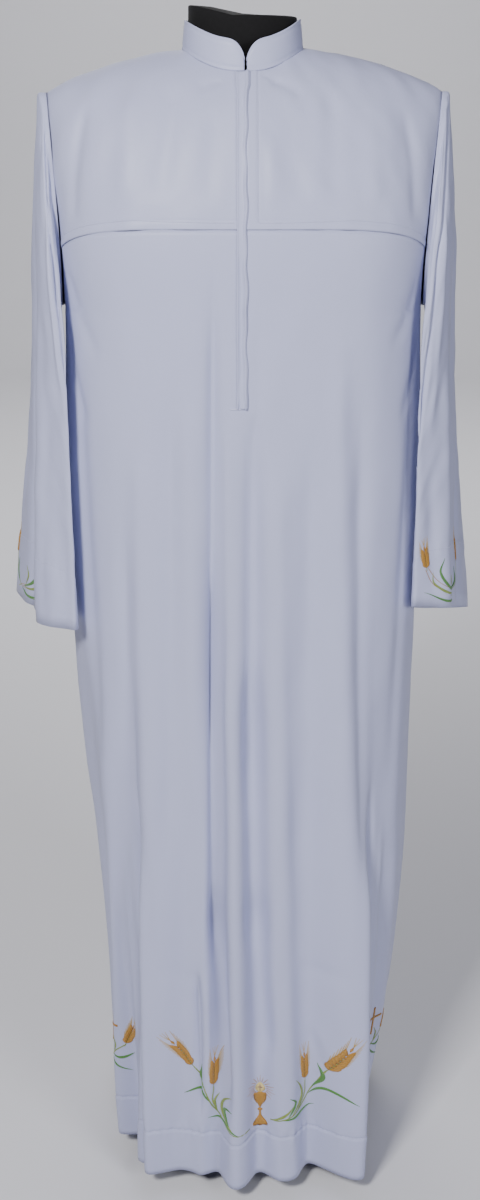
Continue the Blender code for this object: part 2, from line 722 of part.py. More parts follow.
def make_placket(collection, material):
    """The fly strip that covers the slit, made from the panel's and the yoke's own points."""
    steps = [index / STRIP_COLUMNS for index in range(STRIP_COLUMNS + 1)]
    across = [lerp(STRIP_LEFT_X, STRIP_RIGHT_X, step) for step in steps]
    lift = SEAM + STRIP_WALL
    panel_levels = [STRIP_END_Z] + [z for z in BODY_LEVELS if z > SLIT_END_Z]
    panel_levels += [lerp(UNDERARM_Z, YOKE_SEAM_Z, step) for step in CHEST_STEPS]
    climbs = [climb for climb in arch_climbs() if 0.0 < climb < 1.0] + [STRIP_TOP_CLIMB]
    spots = {}
    for row, z in enumerate(panel_levels):
        spot = front_point(0.0, z)
        normal = normal_of(front_point, 0.0, z)
        normal = face_out(normal, spot, Vector((FRONT_X, 0.0, z)))
        for column, x in enumerate(across):
            place = Vector((x, spot.y, z)) + normal * lift
            spots[(row, column)] = (place, normal, STRIP_WALL)
    first = len(panel_levels)
    for extra, climb in enumerate(climbs):
        def point(a, b):
            return arch_point(1.0, False, a, b)
        spot = point(0.0, climb)
        normal = normal_of(point, 0.0, climb, (0.0, 1.0))
        if normal.y > 0.0:
            normal = -normal
        for column, x in enumerate(across):
            place = Vector((x, spot.y, spot.z)) + normal * lift
            spots[(first + extra, column)] = (place, normal, STRIP_WALL)
    rows = first + len(climbs)
    return cloth_piece("placket", spots, grid_quads(rows, STRIP_COLUMNS + 1), collection, material)


def form_ring(z):
    """One ring of the form, smaller than the cloth at the same height."""
    ring = []
    if z <= FORM_RINGS[-1][0]:
        wide, front, back = (table(FORM_RINGS, z, name) for name in FORM_RINGS[0][1:])
        for index in range(FORM_AROUND):
            turn = 2.0 * math.pi * index / FORM_AROUND
            across, deep = math.cos(turn), math.sin(turn)
            x = FORM_X + math.copysign(wide * abs(across) ** FORM_SQUARING, across)
            y = math.copysign((back if deep > 0.0 else front) * abs(deep) ** FORM_SQUARING, deep)
            ring.append(Vector((x, y, z)))
        return ring
    low, high = 0.0, FORM_SHOULDER_X
    for _ in range(40):
        middle = (low + high) / 2.0
        if shoulder_z(FRONT_X + middle) - FORM_CLEAR > z:
            low = middle
        else:
            high = middle
    wide = min(high, FORM_SHOULDER_X)
    for index in range(FORM_AROUND):
        turn = 2.0 * math.pi * index / FORM_AROUND
        across, deep = math.cos(turn), math.sin(turn)
        off_x = wide * abs(across) ** FORM_SQUARING
        back = deep > 0.0
        start = BACK_ARCH_Z if back else FRONT_ARCH_Z
        power = BACK_ARCH_POWER if back else FRONT_ARCH_POWER
        clear = FORM_BACK_CLEAR if back else FORM_FRONT_CLEAR
        depth = table(RINGS, z, "back" if back else "front") - clear
        rise = (z - start) / (shoulder_z(FRONT_X + off_x) - FORM_CLEAR - start)
        keep = max(1.0 - (off_x / FORM_FULL_X) ** ROUNDNESS, 0.0) ** (1.0 / ROUNDNESS)
        keep *= math.sqrt(max(1.0 - max(rise, 0.0) ** power, 0.0)) if z > start else 1.0
        ease = abs(deep) ** FORM_SIDE_EASE if keep > FORM_EDGE_KEEP else 1.0
        y = math.copysign(depth * keep * ease, deep)
        if abs(deep) < 1e-9:
            y = 0.0
        ring.append(Vector((FRONT_X + math.copysign(off_x, across), y, z)))
    return ring


def make_form(collection, material):
    """The whole torso and neck in one closed skin, with a slanted cap on the neck."""
    rings = [form_ring(row[0]) for row in FORM_RINGS[1:]]
    rings += [form_ring(z) for z in FORM_TOP_LEVELS]
    for z, wide, deep in FORM_NECK_RINGS[1:]:
        ring = []
        for index in range(FORM_AROUND):
            turn = 2.0 * math.pi * index / FORM_AROUND
            x = wide * math.cos(turn)
            lift = 0.0
            if z == FORM_NECK_RINGS[-1][0]:
                lift = FORM_NECK_RISE * max(-x / wide - FORM_NECK_LEVEL_SHARE, 0.0)
            ring.append(Vector((FORM_X + x, deep * math.sin(turn) + FORM_NECK_Y, z + lift)))
        rings.append(ring)
    points = [tuple(spot) for ring in rings for spot in ring]
    faces = []
    for row in range(len(rings) - 1):
        for column in range(FORM_AROUND):
            right = (column + 1) % FORM_AROUND
            low, high = row * FORM_AROUND, (row + 1) * FORM_AROUND
            faces.append((low + column, low + right, high + right, high + column))
    bottom = len(points)
    points.append((FORM_X, 0.0, rings[0][0].z))
    top = len(points)
    points.append((FORM_X, FORM_NECK_Y, FORM_NECK_RINGS[-1][0] + FORM_NECK_CROWN))
    last = (len(rings) - 1) * FORM_AROUND
    for column in range(FORM_AROUND):
        right = (column + 1) % FORM_AROUND
        faces.append((bottom, right, column))
        faces.append((top, last + column, last + right))
    mesh = bpy.data.meshes.new("form_torso")
    mesh.from_pydata(points, [], faces)
    mesh.update()
    return new_object("form_torso", mesh, collection, material)


def into_collection(piece, collection):
    for owner in list(piece.users_collection):
        owner.objects.unlink(piece)
    collection.objects.link(piece)


def make_pole(collection, material):
    low = SOCKET_TOP_Z + SEAM
    high = FORM_RINGS[1][0] - SEAM
    bpy.ops.mesh.primitive_cylinder_add(vertices=POLE_AROUND, radius=POLE_RADIUS, depth=high - low,
                                        location=(0.0, 0.0, (low + high) / 2.0))
    pole = bpy.context.object
    pole.name = "stand_pole"
    pole.data.materials.append(material)
    pole.data.shade_smooth()
    pole.data.set_sharp_from_angle(angle=math.radians(SHARP_DEG))
    into_collection(pole, collection)
    return pole


def make_base(collection, material):
    """A round plate and the pole's socket, turned in one from a profile."""
    profile = [(0.0, SOCKET_TOP_Z), (SOCKET_RADIUS - BASE_BEVEL, SOCKET_TOP_Z),
               (SOCKET_RADIUS, SOCKET_TOP_Z - BASE_BEVEL), (SOCKET_RADIUS, BASE_THICK + BASE_BEVEL),
               (SOCKET_RADIUS + BASE_BEVEL, BASE_THICK), (BASE_RADIUS - BASE_BEVEL, BASE_THICK),
               (BASE_RADIUS, BASE_THICK - BASE_BEVEL), (BASE_RADIUS, 0.0), (0.0, 0.0)]
    mesh = bpy.data.meshes.new("stand_base")
    mesh.from_pydata([(x, 0.0, z) for x, z in profile], [(i, i + 1) for i in range(len(profile) - 1)], [])
    base = new_object("stand_base", mesh, collection, material)
    screw = base.modifiers.new("turn", "SCREW")
    screw.steps = screw.render_steps = BASE_AROUND
    screw.use_merge_vertices = True
    screw.merge_threshold = WELD
    screw.use_smooth_shade = True
    return base


def main():
    for thing in list(bpy.data.objects):
        bpy.data.objects.remove(thing, do_unlink=True)
    collection = bpy.data.collections.new("alb_on_dress_form")
    bpy.context.scene.collection.children.link(collection)
    cloth = make_material("alb_cloth", CLOTH_COLOUR, CLOTH_ROUGHNESS)
    jersey = make_material("form_jersey", FORM_COLOUR, FORM_ROUGHNESS)
    metal = make_material("stand_metal", METAL_COLOUR, METAL_ROUGHNESS)
    make_front_panel(collection, cloth)
    make_yoke("front_yoke_right", -1.0, collection, cloth)
    make_yoke("front_yoke_left", 1.0, collection, cloth)
    make_back_panel(collection, cloth)
    make_sleeve("sleeve_right", -1.0, collection, cloth)
    make_sleeve("sleeve_left", 1.0, collection, cloth)
    make_collar(collection, cloth)
    make_placket(collection, cloth)
    make_form(collection, jersey)
    make_pole(collection, metal)
    make_base(collection, metal)


main()
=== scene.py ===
"""A plain white alb on a black limbless dress form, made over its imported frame.

Metres, +Z up, the alb faces -Y and the wearer's left is at +X. Each piece of cloth is a thin shell
on the form of its solid, worked out from the same rings and sections at a finer step, with the
creases, seams, stitching and embroidery put on it in the cloth's own lengths.
"""
import math

import bpy
import numpy as np
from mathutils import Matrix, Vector


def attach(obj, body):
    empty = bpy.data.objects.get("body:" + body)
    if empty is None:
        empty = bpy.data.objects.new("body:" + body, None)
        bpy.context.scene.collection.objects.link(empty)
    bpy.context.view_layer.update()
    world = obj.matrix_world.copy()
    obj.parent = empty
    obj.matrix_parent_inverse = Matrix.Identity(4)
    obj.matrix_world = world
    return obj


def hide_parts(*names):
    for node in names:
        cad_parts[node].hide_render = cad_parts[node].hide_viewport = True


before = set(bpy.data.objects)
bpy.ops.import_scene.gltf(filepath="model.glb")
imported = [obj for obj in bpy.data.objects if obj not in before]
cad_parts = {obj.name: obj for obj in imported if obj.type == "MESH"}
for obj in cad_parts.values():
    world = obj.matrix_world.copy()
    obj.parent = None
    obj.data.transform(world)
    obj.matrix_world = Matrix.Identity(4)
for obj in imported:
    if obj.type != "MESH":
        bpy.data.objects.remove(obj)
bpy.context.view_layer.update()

# Camera: the photograph's place and tilt, with its focal length for a frame 480 by 1200
CAMERA_AT = (0.0, -1.73, 1.44)
CAMERA_TILT_DEG = 70.0
CAMERA_LENS = 41.4
CAMERA_SENSOR = 36.0

# Cloth
SHELL = 0.0009
HEM_Z = 0.030
UNDERARM_Z = 1.200
YOKE_SEAM_Z = 1.301
YOKE_SIDE_DROP = 0.028
STRIP_END_Z = 1.099
FRONT_X = 0.0065
STRIP_LEFT_X = -0.0035
STRIP_RIGHT_X = 0.0085
STRIP_LIFT = 0.0015
YOKE_STITCH_UP = 0.009
FLY_BAND_ACROSS = 0.0134
HEM_STITCH_Z = 0.098
CUFF_STITCH_FROM_EDGE = 0.086
BARTACK_FROM = -0.0190
BARTACK_TO = 0.0020
BARTACK_Z = 1.0985
CHALICE_AT = (0.0222, 0.1690)
SIDE_EMBLEMS = {"right": (-0.2150, 0.200), "left": (0.2180, 0.205)}

# The body as rings: half widths to each side of the centre line, depths to the front and the back
RINGS = (
    ("z", "right_side", "left_side", "front", "back"),
    (0.030, 0.186, 0.182, 0.205, 0.200),
    (0.150, 0.195, 0.201, 0.197, 0.193),
    (0.250, 0.197, 0.214, 0.189, 0.186),
    (0.450, 0.206, 0.225, 0.175, 0.172),
    (0.600, 0.218, 0.224, 0.163, 0.160),
    (0.800, 0.228, 0.223, 0.152, 0.148),
    (1.000, 0.228, 0.222, 0.146, 0.135),
    (1.200, 0.221, 0.215, 0.141, 0.124),
    (1.240, 0.224, 0.218, 0.140, 0.122),
    (1.300, 0.229, 0.224, 0.140, 0.120),
    (1.446, 0.239, 0.236, 0.140, 0.119),
)
ROUNDNESS = 2.6
FRONT_ARCH_Z = 1.240
BACK_ARCH_Z = 1.300
FRONT_ARCH_POWER = 2.0
BACK_ARCH_POWER = 4.0
SHOULDER_LINE = (
    ("from_centre", "z"),
    (0.000, 1.503), (0.070, 1.493), (0.113, 1.487), (0.162, 1.475), (0.205, 1.460), (0.240, 1.443),
)
TIP_RIGHT = 0.2343
TIP_LEFT = 0.2313
NECK_RIGHT = 0.0735
NECK_LEFT = 0.0665
NECK_FRONT = 0.069
NECK_BACK = 0.060
NECK_SHARE = 5.0 / 13.0
COLLAR_FRONT = 0.034
COLLAR_SIDE = 0.032
COLLAR_BACK = 0.039
COLLAR_LEAN = 0.003
COLLAR_CORNER = 0.024
COLLAR_CORNER_POWER = 2.6
COLLAR_LEAST = 0.002
COLLAR_GAP_DEG = 1.2
ARMHOLE_TOP_INSET = 0.0047
ARMHOLE_MID_INSET = 0.0075
ARMHOLE_EASE = 0.35
ARMHOLE_ROUNDING = 0.8
UNDERARM_LAP = 0.0022
LAP_FROM = 0.35

# Long folds of the body below the chest, by bearing in degrees from +X with the front at 270
FOLDS = (
    ("bearing", "top_bearing", "half_width", "depth", "top_z"),
    (18, 20, 15, 0.016, 1.00),
    (37, 37, 12, -0.020, 1.05),
    (55, 57, 12, 0.018, 1.10),
    (72, 73, 11, -0.018, 1.08),
    (90, 90, 12, 0.018, 1.12),
    (108, 106, 11, -0.020, 1.10),
    (125, 123, 12, 0.018, 1.08),
    (144, 143, 12, -0.019, 1.00),
    (166, 168, 14, 0.010, 0.90),
    (199, 199, 14, -0.033, 1.00),
    (211, 210, 7, 0.012, 0.85),
    (220, 219, 8, -0.020, 0.85),
    (233, 235, 12, 0.022, 1.10),
    (247, 248, 9, -0.007, 1.00),
    (258.5, 260, 7, -0.013, 1.26),
    (267, 266, 8, 0.020, 1.10),
    (276.5, 274, 7, -0.013, 1.22),
    (286, 282, 8, 0.008, 1.05),
    (297.5, 293, 9, -0.017, 0.90),
    (309, 312, 13, 0.046, 1.05),
    (328, 327, 9, -0.016, 0.90),
    (341, 341, 9, -0.010, 0.85),
    (349, 349, 8, -0.012, 0.80),
)
FOLD_FADE = 1.25

# Sleeves as flattened tubes
SLEEVE_RIGHT = (
    ("along", "front_x", "front_y", "back_x", "back_y", "bow_out", "bow_in", "knee"),
    (0.0, 0.2150, -0.062, 0.2150, 0.062, 0.008, 0.006, 0.000),
    (0.2, 0.2090, -0.090, 0.2370, 0.070, 0.026, -0.004, 0.000),
    (0.4, 0.2065, -0.100, 0.2560, 0.072, 0.022, -0.003, 0.004),
    (0.6, 0.2060, -0.105, 0.2730, 0.070, 0.018, 0.001, 0.012),
    (0.8, 0.2062, -0.108, 0.2890, 0.063, 0.016, 0.008, 0.018),
    (1.0, 0.2070, -0.110, 0.3030, 0.055, 0.016, 0.016, 0.020),
)
SLEEVE_LEFT = (
    ("along", "front_x", "front_y", "back_x", "back_y", "bow_out", "bow_in", "knee"),
    (0.0, 0.2220, -0.062, 0.2220, 0.062, 0.008, 0.006, 0.000),
    (0.2, 0.2170, -0.088, 0.2460, 0.066, 0.026, -0.004, 0.000),
    (0.4, 0.2150, -0.096, 0.2640, 0.068, 0.022, -0.003, 0.004),
    (0.6, 0.2150, -0.099, 0.2800, 0.066, 0.018, 0.001, 0.010),
    (0.8, 0.2170, -0.100, 0.2950, 0.060, 0.016, 0.008, 0.014),
    (1.0, 0.2190, -0.100, 0.3090, 0.050, 0.017, 0.017, 0.016),
)
KNEE_AT = 0.22
KNEE_HALF_WIDTH = 0.22
SLEEVE_REACH = 0.012
SLEEVE_SIDE_REACH = 0.0065
SLEEVE_REACH_RATE = 0.03
SLEEVE_SETTLE = 0.30
CUFF_RIGHT_Z = 0.810
CUFF_LEFT_OUT_Z = 0.815
CUFF_LEFT_IN_Z = 0.805
CUFF_LEFT_TILT = 0.028

# The form under the cloth
FORM_RINGS = (
    ("z", "half_width", "front", "back"),
    (0.735, 0.138, 0.094, 0.094),
    (0.750, 0.156, 0.110, 0.110),
    (0.830, 0.168, 0.118, 0.118),
    (0.930, 0.162, 0.112, 0.108),
    (1.030, 0.150, 0.104, 0.096),
    (1.130, 0.160, 0.116, 0.100),
    (1.240, 0.178, 0.128, 0.108),
)
FORM_TOP_LEVELS = (1.300, 1.350, 1.395, 1.425, 1.446, 1.461, 1.473, 1.480)
FORM_SHOULDER_X = 0.204
FORM_FULL_X = 0.216
FORM_SQUARING = 0.85
FORM_SIDE_EASE = 0.15
FORM_EDGE_KEEP = 0.3
FORM_CLEAR = 0.0022
FORM_FRONT_CLEAR = 0.013
FORM_BACK_CLEAR = 0.009
FORM_X = 0.003
FORM_NECK_RINGS = (
    ("z", "half_width", "half_depth"),
    (1.487, 0.0580, 0.0440), (1.498, 0.0628, 0.0500), (1.526, 0.0630, 0.0505),
)
FORM_NECK_Y = 0.001
FORM_NECK_CROWN = 0.002
FORM_NECK_RISE = 0.016
FORM_NECK_LEVEL_SHARE = 0.2
FORM_AROUND = 96
FORM_GIRTH = 0.40
FORM_CAP = ((0.985, 0.0012), (0.95, 0.0017), (0.6, 0.0019))

# The colour sockets of a Mix node
MIX_FROM, MIX_TO, MIX_OUT = 6, 7, 2

# Threads: the weave is 0.3 mm in the real cloth, drawn at 0.8 mm so that it shows
WAVE_PERIOD = 0.314
THREAD_PITCH = 0.0008
RIB_PITCH = 0.0012
FLOSS_PITCH = 0.0007
CLOTH_ROUGHNESS = 0.46
SLUB_TONE = 0.93
LINT_COLOUR = "#141315"

# The share of a crease in which each end fades, and how many waves a ripple adds up
CREASE_END = 0.22
RIPPLES = 14

# The paper floor, swept up behind
SWEEP_BACK_Y = 5.8
SWEEP_RADIUS = 1.2
SWEEP_TOP_Z = 5.5
SWEEP_HALF_WIDTH = 7.0
SWEEP_BELOW = 0.0004

# Creases, in millimetres. Depth is plus for a ridge. Power 2 is a round fold, and nearer 1 a
# pinched one. On the front and the back they lie across from the centre line and in height.
FRONT_CREASES = (
    ("from_across", "from_z", "to_across", "to_z", "bow", "from_width", "to_width", "depth", "power"),
    (-37, 1270, -42.5, 620, 0, 7, 9, -10, 1.5),
    (-43, 960, -39, 300, 0, 8.5, 8, -12.5, 1.5),
    (-40, 480, -21.5, 120, 2, 8, 7, -11.5, 1.5),
    (-21, 1120, -20, 640, 1, 8, 9.5, 4, 2),
    (-19, 820, -8, 180, 1, 9, 9.5, 6, 2),
    (8.8, 1110, 8.5, 560, 0, 8, 10, -8, 1.6),
    (8.5, 800, 15, 360, 1, 10, 11, -9.5, 1.6),
    (13, 480, 30, 200, 1, 11, 12, -7.5, 1.8),
    (12.8, 1215, 12.2, 1040, 0, 3, 4.2, -2.2, 1.6),
    (35, 1080, 46, 380, -3, 15, 17, 5.5, 2),
    (-66, 360, -62.5, 105, 0, 5, 7.5, -9, 1.6),
    (-53.5, 360, -50, 120, 0, 6, 7, 4.5, 2),
    (-62, 1140, -69, 520, 3, 12, 14, 3.4, 2),
    (-90, 1190, -101, 430, -4, 12, 16, -5.2, 1.8),
    (-127, 1090, -123, 460, 4, 12, 16, 4.2, 2),
    (-150, 980, -146, 420, 2, 10, 13, -4.8, 1.8),
    (77, 1100, 86, 410, 3, 13, 16, -4.8, 1.8),
    (108, 1210, 119, 560, -3, 12, 15, 3.6, 2),
    (140, 1120, 150, 440, 3, 11, 15, -5.2, 1.8),
    (-121, 352, -60, 330, -4, 6, 8, -1.4, 2),
    (68, 352, 130, 338, -3, 6, 8, -1.4, 2),
    (-149, 620, -140, -100, 0, 6, 7, -19, 1.5),
    (-134, 560, -128, -80, 0, 9, 10, 6, 2),
    (172, 620, 156, -100, 0, 6.5, 7.5, -20, 1.5),
    (152, 560, 139, -80, 0, 9, 10, 6, 2),
    (90, 265, 108, 196, 0, 3.5, 4, -1.3, 2),
    (101, 262, 116, 205, 0, 3.2, 4, 1.2, 2),
    (-86, 262, -80, 205, 0, 3.2, 3.6, -1.1, 2),
    (44, 170, 76, 178, 2, 3, 4, 1.2, 2),
    (-12, 185, 2, 125, 0, 3.4, 4.2, 1.4, 2),
    (-8, 150, 15, 104, 0, 3.6, 4, -1.2, 2),
    (50, 112, 62, 40, 0, 6, 8, -1.6, 2),
    (-88, 118, -92, 34, 0, 6, 9, 1.4, 2),
    (-160, 420, -156, 60, 0, 5, 6, -3, 1.8),
    (-176, 520, -172, 80, 1, 5, 6, 2.6, 2),
    (-190, 440, -186, 50, 0, 5, 6, -3, 1.8),
    (176, 480, 180, 70, 0, 5, 6.5, -3.2, 1.8),
    (196, 560, 199, 90, 1, 5.5, 6.5, 2.6, 2),
    (220, 1140, 208, 560, 2, 10, 13, -3.6, 1.9),
    (-215, 1150, -202, 600, -2, 10, 13, -3.6, 1.9),
    (-235, 1190, -200, 1060, 6, 6, 8, -2.6, 1.8),
    (236, 1195, 198, 1070, -6, 6, 8, -2.6, 1.8),
    (-230, 1255, -175, 1150, 7, 5, 8, -1.8, 1.9),
    (228, 1250, 176, 1160, -6, 5, 8, -1.8, 1.9),
)
BACK_CREASES = (
    ("from_across", "from_z", "to_across", "to_z", "bow", "from_width", "to_width", "depth", "power"),
    (4, 1270, 10, 560, 3, 10, 13, -5.5, 1.8),
    (6, 760, -8, 160, -3, 11, 11, -5, 1.8),
    (-35, 1210, -29, 420, -3, 10, 14, 4.2, 2),
    (-70, 1300, -78, 640, 4, 9, 13, -5.6, 1.7),
    (-81, 880, -70, 180, -3, 11, 10, -5, 1.8),
    (56, 1330, 64, 700, -4, 9, 13, -5, 1.7),
    (68, 900, 80, 230, 3, 11, 11, -5.4, 1.8),
    (101, 1190, 106, 380, 3, 11, 14, 4, 2),
    (-113, 1140, -105, 330, -3, 11, 14, 3.8, 2),
    (146, 1240, 138, 480, 3, 10, 14, -5.2, 1.8),
    (-149, 1230, -142, 520, 3, 10, 14, -5, 1.8),
    (182, 1120, 178, 300, 2, 9, 12, 3.4, 2),
    (-186, 1100, -180, 360, 2, 9, 12, 3.4, 2),
    (218, 1170, 206, 520, 2, 9, 12, -4.2, 1.8),
    (-220, 1160, -208, 560, 2, 9, 12, -4.2, 1.8),
    (-230, 1300, -150, 1130, 10, 6, 11, -3, 1.9),
    (228, 1310, 154, 1160, -10, 6, 11, -3, 1.9),
    (-215, 1390, -170, 1270, 6, 5, 8, -2, 1.9),
    (214, 1395, 175, 1285, -6, 5, 8, -2, 1.9),
    (-80, 1440, -50, 1380, 3, 6, 8, -1.4, 2),
    (76, 1445, 52, 1390, -3, 6, 8, -1.4, 2),
)

# Creases of the sleeves, in millimetres round from the middle of the outer layer and up from the cuff
SLEEVE_RIGHT_CREASES = (
    ("from_around", "from_up", "to_around", "to_up", "bow", "from_width", "to_width", "depth", "power"),
    (60, 650, 120, 500, 6, 5, 7, -5, 1.7),
    (113, 555, 134, 380, 2, 6, 6, -5.8, 1.7),
    (88, 600, 110, 330, 3, 8, 10, 3, 2),
    (36, 640, 40, 590, 0, 2.6, 4, -2, 1.8),
    (6, 640, 9, 585, 0, 2.8, 4, -1.8, 1.8),
    (-30, 640, -32, 580, 0, 3, 4.2, -2, 1.8),
    (15, 600, 18, 300, -3, 9, 12, -2.8, 2),
    (2, 360, -20, -60, -2, 7, 9, -6, 1.7),
    (72, 330, 64, -60, 3, 10, 12, -2.4, 2),
    (48, 460, 40, -60, 2, 11, 13, 2.8, 2),
    (-52, 560, -62, 120, 4, 9, 11, -3.4, 1.9),
    (-95, 610, -90, 260, -4, 8, 10, -3.4, 1.8),
    (-135, 560, -115, 180, 3, 7, 9, 2.6, 2),
    (175, 520, 150, 150, 3, 8, 10, -3, 1.9),
    (-190, 500, -160, 120, 3, 8, 10, -3, 1.9),
)
SLEEVE_LEFT_CREASES = (
    ("from_around", "from_up", "to_around", "to_up", "bow", "from_width", "to_width", "depth", "power"),
    (-25, 645, -98, 480, -8, 5.5, 7.5, -5.4, 1.7),
    (-85, 540, -120, 260, -3, 6.5, 8.5, -5.6, 1.7),
    (-62, 560, -86, 240, -3, 8, 10, 3.2, 2),
    (-11, 640, -52, 575, -4, 3, 4.6, -3, 1.7),
    (20, 640, 18, 580, 0, 2.8, 4.4, -2, 1.8),
    (48, 630, 44, 570, 0, 2.8, 4.4, -1.8, 1.8),
    (12, 590, 6, 230, 4, 9, 12, -3.2, 2),
    (52, 370, 18, -60, 2, 7, 8.5, -5.6, 1.7),
    (-50, 350, -46, -60, -2, 10, 12, 2.8, 2),
    (-76, 220, -70, -60, 2, 8, 10, -2, 2),
    (76, 560, 68, 160, 3, 9, 11, -3.6, 1.9),
    (110, 600, 102, 200, -3, 8, 10, -3, 1.8),
    (-178, 520, -150, 160, -3, 8, 10, -3, 1.9),
    (185, 500, 160, 120, 3, 8, 10, -3, 1.9),
)

# Creases of the yoke halves, in millimetres across from the centre line and up from the yoke seam
YOKE_CREASES = (
    ("from_across", "from_up", "to_across", "to_up", "bow", "from_width", "to_width", "depth", "power"),
    (24, 172, 70, 150, -4, 5, 8, -2.2, 1.8),
    (15, 178, 42, 168, -2, 3, 4, -1.2, 1.8),
    (50, 140, 62, 20, 3, 12, 14, -1.8, 2),
    (30, 110, 32, 20, 1, 9, 11, 1.2, 2),
    (115, 170, 100, 30, 6, 13, 16, -2.4, 2),
    (160, 160, 150, 20, 4, 12, 15, 2, 2),
    (200, 150, 205, 10, -3, 8, 10, -2.6, 1.9),
    (-24, 170, -58, 158, 3, 5, 7, -1.4, 1.9),
    (-35, 140, -40, 20, 2, 10, 13, -1.4, 2),
    (-90, 175, -100, 25, -5, 13, 16, -2.6, 2),
    (-148, 165, -140, 20, -4, 12, 15, 2.2, 2),
    (-201, 155, -208, 10, 3, 8, 10, -2.8, 1.9),
)


def lerp(a, b, t):
    return a + (b - a) * t


def smooth(t):
    t = np.clip(t, 0.0, 1.0)
    return t * t * (3.0 - 2.0 * t)


def table(rows, key, name):
    """The values of a named column at some keys, on a smooth curve through the table's rows."""
    column = rows[0].index(name)
    keys = np.array([row[0] for row in rows[1:]])
    values = np.array([row[column] for row in rows[1:]])
    key = np.clip(key, keys[0], keys[-1])
    low = np.clip(np.searchsorted(keys, key) - 1, 0, len(keys) - 2)
    high = low + 1
    before, after = np.maximum(low - 1, 0), np.minimum(high + 1, len(keys) - 1)
    span = keys[high] - keys[low]
    t = (key - keys[low]) / span
    slope_low = (values[high] - values[before]) / (keys[high] - keys[before]) * span
    slope_high = (values[after] - values[low]) / (keys[after] - keys[low]) * span
    return ((2 * t ** 3 - 3 * t ** 2 + 1) * values[low] + (t ** 3 - 2 * t ** 2 + t) * slope_low
            + (3 * t ** 2 - 2 * t ** 3) * values[high] + (t ** 3 - t ** 2) * slope_high)


def bump(distance, half_width):
    reach = np.minimum(np.abs(distance) / half_width, 1.0)
    return 0.5 * (1.0 + np.cos(np.pi * reach))


def swell(place, middle, width):
    """A soft rise of 1 at the middle, gone at about twice the width."""
    return np.exp(-((place - middle) / width) ** 2)


def stack(x, y, z):
    return np.stack(np.broadcast_arrays(x, y, z), axis=-1)


def shoulder_z(x):
    return table(SHOULDER_LINE, np.abs(x - FRONT_X), "z")


def half_width(side, z):
    return np.where(np.asarray(side) > 0, table(RINGS, z, "left_side"), table(RINGS, z, "right_side"))


def arch(x, z, back):
    start = np.where(back, BACK_ARCH_Z, FRONT_ARCH_Z)
    power = np.where(back, BACK_ARCH_POWER, FRONT_ARCH_POWER)
    rise = np.clip((z - start) / (shoulder_z(x) - start), 0.0, 1.0)
    return np.sqrt(np.maximum(1.0 - rise ** power, 0.0))


def fold_depth(x, y, z):
    bearing = np.degrees(np.arctan2(y, x - FRONT_X)) % 360.0
    total = np.zeros(np.shape(bearing))
    for low_bearing, top_bearing, width, depth, top_z in FOLDS[1:]:
        fade = np.clip((top_z - z) / (top_z - HEM_Z), 0.0, 1.0)
        middle = lerp(low_bearing, top_bearing, 1.0 - fade)
        away = (bearing - middle + 180.0) % 360.0 - 180.0
        total += depth * fade ** FOLD_FADE * bump(away, width)
    return total


def body_point(angle, z, folded=True):
    """Points of the body at ring angles: 0 at the left side, 90 at the front, 270 at the back."""
    turn = np.radians(angle)
    across, deep = np.cos(turn), np.sin(turn)
    side = np.where(across >= -1e-12, 1.0, -1.0)
    back = deep < -1e-12
    power = 2.0 / ROUNDNESS
    x = FRONT_X + side * half_width(side, z) * np.abs(across) ** power
    ring = np.where(back, table(RINGS, z, "back"), table(RINGS, z, "front"))
    depth = ring * np.abs(deep) ** power * arch(x, z, back)
    y = np.where(back, depth, -depth)
    if folded:
        push = fold_depth(x, y, z)
        far = np.maximum(np.hypot(x - FRONT_X, y), 1e-9)
        x, y = x + (x - FRONT_X) / far * push, y + y / far * push
    return stack(x, y, z)


def armhole_inset(turn):
    rise = np.sin(turn)
    across = np.abs(np.cos(turn)) ** (1.0 - ARMHOLE_ROUNDING * np.minimum(rise, 0.0))
    return ARMHOLE_TOP_INSET * (1.0 + rise) / 2.0 + ARMHOLE_MID_INSET * across * (1.0 - ARMHOLE_EASE * rise)


def tip_x(side):
    return np.where(np.asarray(side) > 0, TIP_LEFT, TIP_RIGHT)


def armhole_tip_z(side):
    return shoulder_z(FRONT_X + side * tip_x(side))


def armhole_x(side, z):
    middle = (UNDERARM_Z + armhole_tip_z(side)) / 2.0
    half = (armhole_tip_z(side) - UNDERARM_Z) / 2.0
    turn = np.arcsin(np.clip((z - middle) / half, -1.0, 1.0))
    return half_width(side, z) - armhole_inset(turn)


def edge_angle(side, z):
    share = np.minimum(armhole_x(side, z) / half_width(side, z), 1.0)
    return np.where(z <= UNDERARM_Z, 0.0, np.degrees(np.arccos(share ** (ROUNDNESS / 2.0))))


def seam_z(u):
    return YOKE_SEAM_Z - YOKE_SIDE_DROP * np.abs(u) ** 3


def front_point(u, z, folded=True):
    side = np.where(u >= 0.0, 1.0, -1.0)
    return body_point(90.0 - u * (90.0 - edge_angle(side, z)), z, folded)


def back_point(u, z, folded=True):
    side = np.where(u >= 0.0, 1.0, -1.0)
    return body_point(270.0 + u * (90.0 - edge_angle(side, z)), z, folded)


def neck_half(side):
    return np.where(np.asarray(side) > 0, NECK_LEFT, NECK_RIGHT)


def armhole_reach(side, back, turn):
    start = BACK_ARCH_Z if back else FRONT_ARCH_Z
    reach = tip_x(side)
    for _ in range(5):
        z = start + (shoulder_z(FRONT_X + reach) - start) * np.sin(turn)
        reach = armhole_x(side, np.minimum(z, armhole_tip_z(side)))
    return reach


